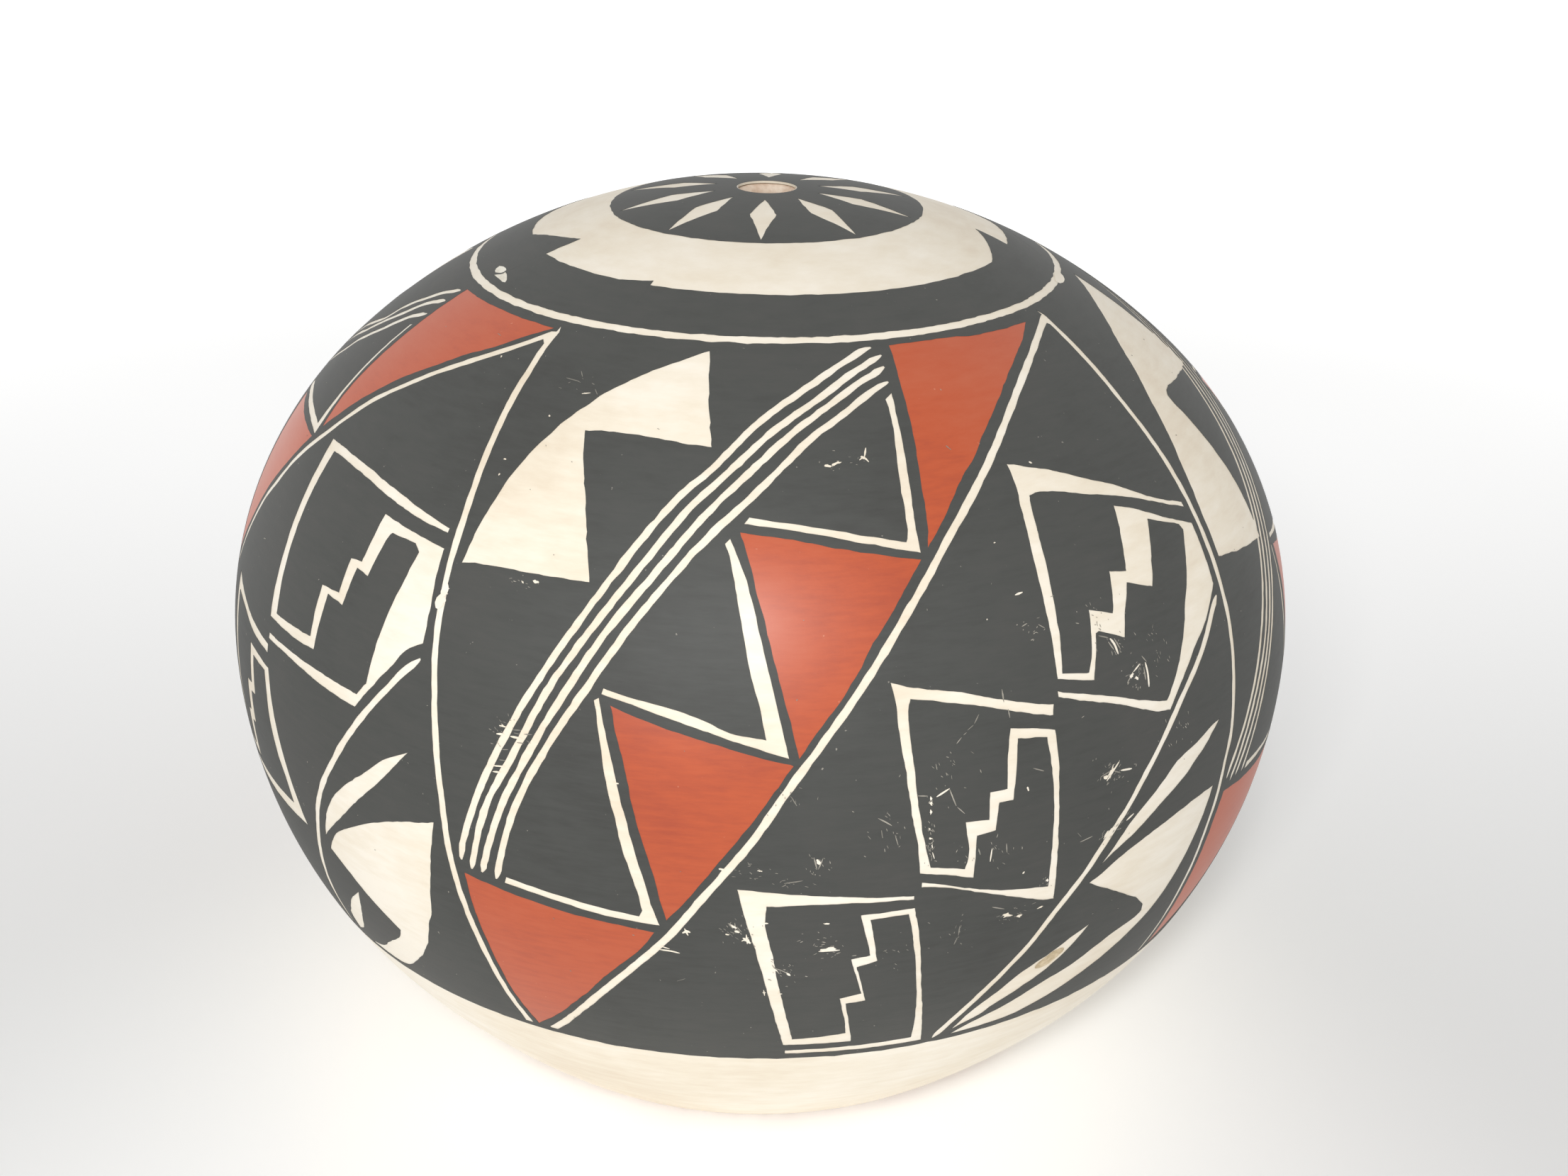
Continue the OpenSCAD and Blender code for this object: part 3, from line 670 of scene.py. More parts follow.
FRETS = [
    [(54.4, 92.7), (50, 90), (45.4, 86.1), (41.6, 83.6), (37.9, 81.1), (33.5, 78.9),
     (31.7, 78.2), (31.6, 81.7), (31, 85.8), (30.3, 94.7), (30.2, 101.9), (30, 110.8),
     (34.05, 112.4), (35.3, 105.9), (35.7, 105.7), (38.7, 107.8), (39.3, 104.9),
     (40.9, 100.2), (44.2, 102.2), (45.2, 99.1), (47.4, 92.6), (50.2, 94.3), (52, 95.4),
     (52.3, 96.5), (51, 99.9), (49.6, 103.6), (48.2, 106.9), (46.8, 110.8), (45.4, 114.4),
     (44, 117.4), (42.8, 119.45), (39.9, 118), (37.1, 116.3), (34.3, 114.7),
     (29.8, 112.6), (29.8, 113.4), (34.3, 115.8), (37.1, 117.4), (39.9, 119.4),
     (41.6, 120.5), (43.2, 121.1), (44.9, 118.3), (46.6, 115.8), (48.2, 113.6),
     (50.2, 111.6), (51.7, 109.7), (54.05, 106.3), (54.3, 100.2), (54.4, 96.3),
     (50, 93.3), (46, 90.2), (43.4, 88.8), (42.9, 91.05), (41.3, 98.6), (39.05, 97.8),
     (38.4, 101.9), (37.9, 103.8), (35.1, 102.3), (34.8, 104.7), (34.3, 108.3),
     (33.6, 111.1), (30.6, 110.2), (31, 105.8), (31.3, 100.2), (32.1, 88),
     (32.75, 83.75), (34.3, 83.5), (37.1, 84.3), (39.9, 85.6), (43.8, 87.2),
     (47.1, 88.9), (51, 91.4), (54.4, 93.6)],
    [(29.25, 114.25), (28, 113.8), (24, 112), (19.8, 109.9), (15.7, 108.6),
     (13.6, 107.6), (13.9, 109.9), (14.1, 114.7), (14.6, 120.5), (15.1, 126.9),
     (15.6, 131), (16, 136.5), (18.4, 137.4), (21, 138.6), (21.1, 131.7), (22.9, 131.4),
     (23.2, 127), (24.6, 127.1), (25.25, 118), (28.2, 118.7), (28.7, 126.9),
     (28.8, 138.3), (28.9, 143.5), (24.6, 142.2), (20.7, 140.4), (17.9, 138.9),
     (16.2, 138.1), (16.2, 138.9), (19, 139.9), (24.6, 143.3), (28, 145.6),
     (29.8, 146.4), (29.5, 138.3), (29.3, 130), (29.3, 122), (29.1, 118), (28, 117.4),
     (25.9, 116.75), (24.55, 116.3), (24.1, 120.8), (24, 125.2), (22.3, 125.2),
     (22.2, 129.4), (20, 129.25), (20.4, 134.2), (20.1, 136.9), (16.9, 135.7),
     (16.1, 130), (15.5, 122.7), (15, 113), (15.3, 110.1), (17.9, 110.9), (21.8, 112.4),
     (28, 115.4), (29.1, 115.8)],
    [(15.6, 140.3), (11.8, 139.8), (9.3, 139.3), (5.1, 138.6), (0.1, 137.7),
     (1.2, 145.6), (1.8, 149.4), (2.6, 155.6), (3.4, 162.2), (4.55, 171.7),
     (11.4, 171.7), (10.25, 161.1), (12.1, 160.7), (10.9, 153), (12.7, 152.1),
     (11.8, 143.8), (15.25, 143.5), (15.8, 147.8), (16.8, 157.8), (17.6, 167.8),
     (17.8, 173), (4.8, 173.3), (4.8, 174.4), (19.1, 174.6), (18.2, 166.1),
     (17.3, 157.8), (16.4, 147.8), (15.7, 142.5), (10.9, 142.8), (12, 150.7),
     (10.3, 151.25), (11.6, 158.9), (9.6, 159.7), (10.25, 164.7), (10.7, 169),
     (7.9, 169.6), (5.4, 169.9), (4.4, 161.1), (3.7, 155), (3.2, 149.4), (2.6, 145),
     (2.6, 140.7), (7.9, 140.5), (15.6, 140.9)]]
LEFT_FRETS = [
    [(-32.5, 91.3), (-40, 89.2), (-45, 88.1), (-50, 87.3), (-55.4, 87.1), (-59.3, 87.2),
     (-58.5, 92.3), (-57.7, 99.2), (-56.9, 105.8), (-56.2, 113.8), (-55.8, 116.9),
     (-50, 116.9), (-46, 116.6), (-45.8, 107.5), (-43.1, 107.9), (-42.7, 101.7),
     (-40.8, 102.2), (-40.2, 96.2), (-39.7, 94.8), (-36.1, 94.9), (-35.2, 96),
     (-35.6, 99.7), (-36.25, 104), (-36.8, 109), (-37.2, 114), (-37.4, 117.4),
     (-38.5, 119.6), (-45, 119.3), (-55.3, 119.4), (-55.3, 120.4), (-50, 120.4),
     (-45, 121), (-40.4, 121.5), (-38.5, 121.6), (-37.2, 118.8), (-35.8, 115.8),
     (-34.4, 113), (-33.1, 110.2), (-31.25, 108.4), (-31.5, 103), (-31.9, 99.1),
     (-32.2, 94.3), (-35.8, 93.7), (-39, 93.2), (-42, 92.6), (-42.4, 100.6),
     (-44.2, 100.8), (-44.2, 106.5), (-47.2, 106.7), (-47.2, 110), (-47, 115),
     (-54.4, 115.7), (-55.4, 107.7), (-56.2, 100), (-56.7, 94.2), (-57.1, 88.5),
     (-53.5, 88.4), (-47.7, 89), (-43.8, 89.8), (-38.5, 91), (-32.5, 92)],
    [(-55.3, 121.5), (-60, 120.8), (-65, 119.5), (-70, 118.1), (-69.2, 127), (-68, 137),
     (-66.6, 146.6), (-61.5, 147), (-61.4, 139.6), (-60.2, 139.2), (-60.4, 133.4),
     (-58.9, 133), (-59.4, 126.2), (-55.8, 126.3), (-55.2, 129.2), (-54.6, 133.8),
     (-53.5, 139.2), (-52.3, 143.1), (-51.6, 147.6), (-56.5, 148), (-66.4, 148.6),
     (-66.3, 150), (-63, 150.6), (-55.4, 150.4), (-49.2, 150.1), (-50.8, 142.7),
     (-52.3, 136.2), (-53.7, 130), (-54.7, 125.2), (-60.7, 124.6), (-60.2, 131.6),
     (-61.8, 132), (-61.8, 137.8), (-62.9, 138.2), (-62.9, 145.4), (-65.4, 145.4),
     (-66.6, 137), (-67.6, 128), (-68.4, 120.6), (-64.6, 121), (-60, 122.4),
     (-55.2, 122.9)]]

DIVIDER = [(54, 108.3), (52.3, 110.2), (50.1, 113.5), (47.8, 116.6), (45.6, 119.4),
           (43.5, 122.6), (41.3, 126.5), (39.6, 129.6), (37, 134.9), (35.1, 138.6),
           (33.2, 143), (30.2, 149.5), (28.3, 154.6), (26.2, 159.5), (23.8, 165.3),
           (21.9, 170.2), (20.4, 174.8)]
LEFT_DIVIDER = [(-31.2, 110.8), (-33, 113.6), (-34.7, 117), (-36.4, 120.4), (-38.1, 124.1),
                (-40, 128.5), (-41.7, 132.8), (-43.6, 137.5), (-45.3, 142.8), (-46.5, 148),
                (-47.5, 152.3), (-48.7, 158), (-49.7, 163.8), (-50.2, 169.6), (-50.8, 174.8)]
LEAVES = [
    [(51.2, 127.2), (49.3, 127.7), (47.1, 128.7), (44.1, 130), (41.6, 132.8),
     (39.9, 134.7), (37.9, 137.2), (36.3, 140.3), (34.8, 143), (36.3, 141.4),
     (37.9, 140), (40.4, 137.8), (42.7, 135.6), (44.9, 133.9), (47.1, 131.7),
     (48.8, 130)],
    [(33.8, 145.7), (35.2, 144.7), (37.1, 143), (39.9, 141.4), (42.7, 140.3),
     (45.4, 139.6), (48.2, 139), (51.1, 139), (50.4, 142.8), (49.6, 146.7), (48.8, 150),
     (47.7, 153.9), (46.3, 157.8), (45.2, 160), (43.2, 162.8), (41, 165.3),
     (38.2, 168), (35.2, 170.6), (31.6, 173), (28.8, 174.2), (22.4, 174.7),
     (24.3, 172.5), (28, 169.7), (31.6, 166.4), (34.9, 164.4), (37.7, 161.9),
     (40, 160.3), (42.7, 159.2), (43.4, 158.3), (43.2, 156.7), (41.8, 154.4),
     (39.9, 152.2), (37.9, 150), (36, 148)],
    [(35.4, 155.1), (33.2, 156.7), (31.3, 158.6), (29.3, 160.3), (27.7, 162.2),
     (25.7, 165.6), (23.7, 168.9), (22.3, 173.2), (25.4, 170), (26, 168.9),
     (28.8, 165.8), (31, 163.3), (32.7, 160.8), (34, 158.3)]]
LEFT_LEAVES = [
    [(-31.3, 125.1), (-34.4, 128), (-36.9, 131.5), (-40.4, 136.2), (-42.7, 140.4),
     (-44.2, 144.6), (-45.2, 148.7), (-43.5, 145.8), (-41.5, 142.7), (-38.8, 138.1),
     (-34.7, 131.5), (-33, 128.3)],
    [(-44.9, 151.2), (-43.1, 146.9), (-40.2, 143.5), (-37.5, 140.8), (-35, 138.9),
     (-32.8, 137.4), (-29.7, 135.8), (-28.3, 135.1), (-28.9, 139.7), (-29.3, 143.9),
     (-29.9, 148.6), (-30.4, 153), (-31.4, 156.9), (-32.5, 161.4), (-33.9, 165),
     (-35.8, 168.6), (-38.3, 172.5), (-41, 174.6), (-46.4, 174.8), (-45.8, 174.2),
     (-43.1, 172.3), (-40, 168), (-37.5, 164.7), (-36.5, 161.9), (-37.7, 160.4),
     (-40, 157.6), (-42.3, 154.2)],
    [(-42, 158.1), (-44.6, 161.9), (-46.5, 165.8), (-47.9, 168.8), (-48.6, 173.4),
     (-46.2, 170.8), (-44.6, 166.9), (-43.3, 163.1)]]

TEETH = [
    [(-24.3, 40.3), (-24, 49.9), (-41, 50.1), (-58.8, 49.4), (-41, 43.2)],
    [(-59.9, 35.1), (-63.5, 49.9), (-78, 50), (-94, 49.4), (-78, 40)],
    [(86.5, 36.5), (80.7, 49.9), (60, 50.1), (37, 50.1), (60.9, 43.7)],
    [(14.5, 42.0), (13.6, 49.9), (4, 50.1), (-8.4, 49.6), (3, 45.2)]]
BACK_TEETH = (122.0, 158.0, 194.0, 230.0)

PANEL_NAMES = ("front", "right", "back", "left")


def lon_on(line, s):
    """Where a long line crosses a given distance down the wall."""
    if s <= line[0][1]:
        return line[0][0]
    for a, b in zip(line, line[1:]):
        if s <= b[1]:
            return a[0] + (b[0] - a[0]) * (s - a[1]) / (b[1] - a[1])
    return line[-1][0]


def carried(point, panel):
    """A point of the front panel moved to the same place in another, which is a bit wider."""
    lon, s = point
    if panel == 0:
        return point
    first, last = lon_on(FRONT_UPRIGHT, s), lon_on(RIGHT_UPRIGHT, s)
    wide = (360 - (last - first)) / 3
    share = (lon - first) / (last - first)
    moved = last + (panel - 1 + share) * wide
    return (moved if moved < 180 else moved - 360, s)


def repeat(shapes, panel):
    """Shapes of the front panel moved to another."""
    return [[carried(p, panel) for p in shape] for shape in shapes]


def unbroken(points):
    """Longitudes that don't jump at the back of the pot."""
    out = [points[0]]
    for lon, s in points[1:]:
        while lon - out[-1][0] > 180:
            lon -= 360
        while lon - out[-1][0] < -180:
            lon += 360
        out.append((lon, s))
    return out


def panel_drawing(panel):
    """The lines and shapes of one of the four panels."""
    uprights = [FRONT_UPRIGHT, RIGHT_UPRIGHT, *(repeat([FRONT_UPRIGHT], n)[0] for n in (2, 3))]
    near, far = unbroken(uprights[panel]), unbroken(uprights[(panel + 1) % 4])
    sweep, divider, lens = (repeat([x], panel)[0] for x in (FRONT_SWEEP, DIVIDER, LENS))
    reds, strips, fine, frets, leaves = (
        repeat(x, panel) for x in (REDS, BENT_STRIPS, FINE_LINES, FRETS, LEAVES))
    if panel == 1:
        lens = RIGHT_LENS
    if panel == 3:
        sweep, divider, fine, leaves = LEFT_SWEEP, LEFT_DIVIDER, LEFT_FINE_LINES, LEFT_LEAVES
        reds = LEFT_REDS + reds[2:]
        strips = [LEFT_BENT_STRIP] + strips[1:]
        frets = LEFT_FRETS + frets[2:]
    middle = near[0][0] + 45

    def level(points):
        out = unbroken(points)
        shift = round((middle - out[0][0]) / 360) * 360
        return [(lon + shift, s) for lon, s in out]

    drawing = {"far": level(far), "sweep": level(unbroken(sweep)),
               "divider": level(unbroken(divider)), "lens": level(lens)}
    for name, shapes in (("reds", reds), ("strips", strips), ("fine", fine), ("frets", frets),
                         ("leaves", leaves)):
        drawing[name] = [level(shape) for shape in shapes]
    return {"near": near, **drawing}


class JarLooks(bpy.types.PropertyGroup):
    """Sizes and colours of the jar's finish"""

    uneven: FloatProperty(
        name="Unevenness", description="How far the hand-built wall dips under the turned shape",
        default=0.3 * MM, min=0.0, max=0.4 * MM, subtype="DISTANCE")
    brush_shake: FloatProperty(
        name="Brush shake", description="How far a painted edge wanders",
        default=0.16 * MM, min=0.0, max=0.5 * MM, subtype="DISTANCE")
    long_line: FloatProperty(
        name="Long line", description="Width of the cream lines between the painted fields",
        default=1.15 * MM, min=0.4 * MM, max=2.0 * MM, subtype="DISTANCE")
    fine_line: FloatProperty(
        name="Fine line", description="Width of each fine cream line",
        default=1.1 * MM, min=0.4 * MM, max=1.4 * MM, subtype="DISTANCE")
    scuffs: IntProperty(
        name="Scuffs", description="Small worn spots scattered over the black paint",
        default=150, min=0, max=600, subtype="UNSIGNED")
    slip_pale: FloatVectorProperty(
        name="Pale slip", description="Where the white slip lies thick",
        default=tint("#F5EDDE")[:3], min=0.0, max=1.0, subtype="COLOR")
    slip_warm: FloatVectorProperty(
        name="Warm slip", description="Where the clay shows through the slip",
        default=tint("#ECE1CD")[:3], min=0.0, max=1.0, subtype="COLOR")
    black: FloatVectorProperty(
        name="Black paint", description="Colour of the black paint",
        default=tint("#3E3F3C")[:3], min=0.0, max=1.0, subtype="COLOR")
    red: FloatVectorProperty(
        name="Red paint", description="Colour of the red patches",
        default=tint("#B54A1A")[:3], min=0.0, max=1.0, subtype="COLOR")


class StageLooks(bpy.types.PropertyGroup):
    """Sizes and brightness of the stage"""

    floor_size: FloatProperty(
        name="Floor size", description="Width of the pale floor",
        default=6.0, min=1.0, max=20.0, subtype="DISTANCE")
    key_power: FloatProperty(
        name="Flash", description="Power of the small flash over the camera",
        default=1.8, min=0.0, max=20.0, unit="POWER")
    side_power: FloatProperty(
        name="Side lamp", description="Power of the second flash a hand's width to the left",
        default=1.35, min=0.0, max=20.0, unit="POWER")
    fill_level: FloatProperty(
        name="Fill level", description="Brightness of the even light from all round",
        default=0.46, min=0.0, max=2.0, subtype="FACTOR")


class JAR_OT_clay(bpy.types.Operator):
    """Base, rings and mouth of bare fired clay"""

    bl_idname = "jar.clay"
    bl_label = "Clay body"

    # depth of the clay's face under the painted surface, just deeper than the slip's
    FACE = 0.6
    # rounding of the foot's edge: where it ends inwards, its width and its height, in mm
    FOOT_IN, FOOT_WIDE, FOOT_HIGH = 0.5, 1.2, 1.6

    def execute(self, context):
        clay = bare_fired_clay()
        for name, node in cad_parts.items():
            if "coil" in name:
                node.data.materials.clear()
                node.data.materials.append(clay)
        fit_to_jar(turned_mesh("foot_and_floor", self.foot(), clay), "clay", "base_slab")
        fit_to_jar(turned_mesh("mouth_lip", self.lip(), clay, 128), "clay", "mouth_coil")
        return {"FINISHED"}

    def foot(self):
        """Round the base slab: up its outside, under the foot, and over the floor inside."""
        foot_r = wall(FOOT_S, self.FACE)[0]
        outside = wall_run(FOOT_S - 11, FOOT_S - 2.2, self.FACE, 6)
        edge = oval(foot_r - self.FOOT_IN, self.FOOT_HIGH, self.FOOT_WIDE, self.FOOT_HIGH,
                    range(20, -91, -22))
        under = [(foot_r - 8, 0.0), (foot_r - 14, 0.15), (30.0, 0.6), (0.0, 0.8)]
        floor = [(0.0, FLOOR_Z), (44.0, FLOOR_Z), (49.0, FLOOR_Z + 0.6)]
        return outside + edge + under + floor + wall_run(FOOT_S - 6, FOOT_S - 13, CLAY_IN, 7)

    def lip(self):
        """Round the last ring of clay, whose lip is rounded in and out."""
        top_z = wall(MOUTH_R)[1]
        inside = [wall(s, CLAY_IN) for s in (12.5, 9.5, 7.0)]
        round_in = oval(MOUTH_R + 1.5, top_z - 4.6, 1.5, -1.0, (90, 120, 150, 180))
        round_out = oval(MOUTH_R + 1.3, top_z - 2.2, 1.3, 1.5, (180, 150, 120, 100))
        return inside + round_in + round_out + [wall(s, 0.65) for s in (7.5, 10.0, 14.5)]


class JAR_OT_slip(bpy.types.Operator):
    """White slip over the whole outside, rubbed smooth"""

    bl_idname = "jar.slip"
    bl_label = "Slip coat"

    def execute(self, context):
        rows, columns = 128, 300
        start, stop = 5.0, FOOT_S - 4.2
        spots = [(i * 360 / columns, start + (stop - start) * r / rows)
                 for r in range(rows + 1) for i in range(columns)]
        tris = []
        for r in range(rows):
            for i in range(columns):
                j = (i + 1) % columns
                a, b, c, d = (r * columns + i, (r + 1) * columns + i,
                              (r + 1) * columns + j, r * columns + j)
                tris += [(a, b, c), (a, c, d)]
        coat = layer_mesh("white_slip_coat", [(spots, tris)], SLIP_LIFT, SLIP_THICK,
                          stone_polished_slip())
        fit_to_jar(coat, "coat", "cream_coat")
        return {"FINISHED"}


class JAR_OT_sweeps(bpy.types.Operator):
    """Black on the swept side of each panel, with its lens, fine lines and strips left cream"""

    bl_idname = "jar.sweeps"
    bl_label = "Swept fields"

    def execute(self, context):
        looks = context.scene.jar_looks
        half, fine = looks.long_line / MM / 2, looks.fine_line / MM
        top, foot = BAND_TOP + BORDER, BAND_FOOT - BORDER
        for panel, where in enumerate(PANEL_NAMES):
            d = panel_drawing(panel)
            left = [p for p in beside(d["near"], -half) if p[1] < foot]
            right = [p for p in beside(d["sweep"], half) if p[1] < foot]
            tip = d["far"][0][0]
            outline = shaky(left, LONG_EDGE) + [(left[-1][0], foot), (right[-1][0], foot)]
            outline += shaky(right[::-1], LONG_EDGE) + [(tip, top + 1.3)]
            outline += level_run(tip, d["near"][0][0], top, 70)
            holes = [shaky(drawn_outline(d["lens"]))]
            holes += [shaky(drawn_outline(o), STRIP_EDGE) for o in d["strips"]]
            holes += [shaky(stroke(line, fine), SHAPE_EDGE) for line in d["fine"]]
            holes += [shaky(drawn_outline(o), SHAPE_EDGE) for o in d["reds"]]
            field = layer_mesh(f"black_sweep_{where}", [patch(outline, holes)], PAINT_LIFT,
                               PAINT_THICK, black_mineral_paint())
            fit_to_jar(field, "black", f"sweep_field_{panel + 1}")
        return {"FINISHED"}


class JAR_OT_frets(bpy.types.Operator):
    """Black on the stepped side of each panel, with its frets and leaves left cream"""

    bl_idname = "jar.frets"
    bl_label = "Stepped fields"

    def execute(self, context):
        half = context.scene.jar_looks.long_line / MM / 2
        foot = BAND_FOOT - BORDER
        for panel, where in enumerate(PANEL_NAMES):
            d = panel_drawing(panel)
            right = [p for p in beside(d["far"], half) if p[1] < foot]
            # the field begins where the sweep has come clear of the upright beyond it
            left = [p for p in beside(d["sweep"], -half)
                    if p[1] < foot and p[0] < lon_on(right, p[1]) - 0.4]
            right = [p for p in right if p[1] > left[0][1]]
            outline = shaky(left, LONG_EDGE) + level_run(left[-1][0], right[-1][0], foot, 60)
            outline += shaky(right[::-1], LONG_EDGE)
            holes = [shaky(stroke(d["divider"], 2 * half), LONG_EDGE)]
            holes += [shaky(drawn_outline(o, 0.7), STRIP_EDGE) for o in d["frets"]]
            holes += [shaky(drawn_outline(o), SHAPE_EDGE) for o in d["leaves"]]
            field = layer_mesh(f"black_fret_{where}", [patch(outline, holes)], PAINT_LIFT,
                               PAINT_THICK, black_mineral_paint())
            fit_to_jar(field, "black", f"fret_field_{panel + 1}")
        return {"FINISHED"}


class JAR_OT_reds(bpy.types.Operator):
    """Red ochre patches down the edge of each sweep"""

    bl_idname = "jar.reds"
    bl_label = "Red patches"

    def execute(self, context):
        for panel, where in enumerate(PANEL_NAMES):
            shapes = [self.spread(drawn_outline(o)) for o in panel_drawing(panel)["reds"]]
            reds = layer_mesh(f"red_patches_{where}", [patch(o) for o in shapes], RED_LIFT,
                              RED_THICK, red_ochre_slip())
            fit_to_jar(reds, "red", f"red_patches_{panel + 1}")
        return {"FINISHED"}

    @staticmethod
    def spread(outline, reach=0.35):
        """The red goes on first and runs a little under the black."""
        sign = 1 if area([Vector(p) for p in outline]) < 0 else -1
        out = []
        for i, (lon, s) in enumerate(outline):
            before, after = outline[i - 2], outline[(i + 2) % len(outline)]
            k = size_at((lon, s))
            across = Vector((after[1] - before[1], -(after[0] - before[0]) * k))
            across = across.normalized() * reach * sign
            out.append((lon - across.x / k, s - across.y))
        return out


class JAR_OT_top(bpy.types.Operator):
    """Borders of the band, teeth inside the shoulder line, and a rayed disc round the mouth"""

    bl_idname = "jar.top"
    bl_label = "Top painting"

    # mm from the middle of the top
    DISC_R, DISC_HOLE = 27.0, 5.15
    RAYS = 10
    # one ray, as drawn with the disc laid flat
    RAY = [(0.0, 9.0), (2.2, 16.2), (0.0, 26.0), (-2.2, 16.2)]

    def execute(self, context):
        black = black_mineral_paint()

        def paint(name, patches, *nodes):
            piece = layer_mesh(name, patches, PAINT_LIFT, PAINT_THICK, black)
            fit_to_jar(piece, "black", *nodes)

        first = TEETH[0][0][0]
        teeth = TEETH + [[(lon - first + turn, s) for lon, s in TEETH[0]] for turn in BACK_TEETH]
        ring = self.ring(shaky(circle_at(RING_TOP), RING_EDGE),
                         shaky(circle_at(RING_TOP - 1.6), 0.4))
        saws = [patch(shaky(self.saw(tooth)), (), True) for tooth in teeth]
        paint("black_shoulder_teeth", [ring, *saws], "top_teeth")
        paint("black_band_borders", [
            self.ring(circle_at(BAND_TOP + BORDER), shaky(circle_at(BAND_TOP), RING_EDGE)),
            self.ring(shaky(circle_at(BAND_FOOT), 1.5), circle_at(BAND_FOOT - BORDER))])
        rays = [shaky(self.ray(n * 360 / self.RAYS), 0.9) for n in range(self.RAYS)]
        disc = patch(shaky(circle_at(self.DISC_R, 180), RING_EDGE),
                     [circle_at(self.DISC_HOLE, 90), *rays], True, 1.8)
        paint("black_rayed_disc", [disc], "top_disc")
        return {"FINISHED"}

    @staticmethod
    def ring(outer, inner):
        """A narrow ring of paint."""
        return patch(outer, [inner], True, 0)

    @staticmethod
    def saw(points):
        """A tooth, drawn with the top laid flat."""
        return drawn_outline([fold_back(open_out(p)) for p in points])

    def ray(self, at):
        """A ray of the disc, turned at degrees round the mouth."""
        turn = Matrix.Rotation(math.radians(at), 2)
        corners = [turn @ Vector(p) for p in self.RAY]
        return [fold_back(a.lerp(b, i / 8))
                for a, b in zip(corners, corners[1:] + corners[:1]) for i in range(8)]


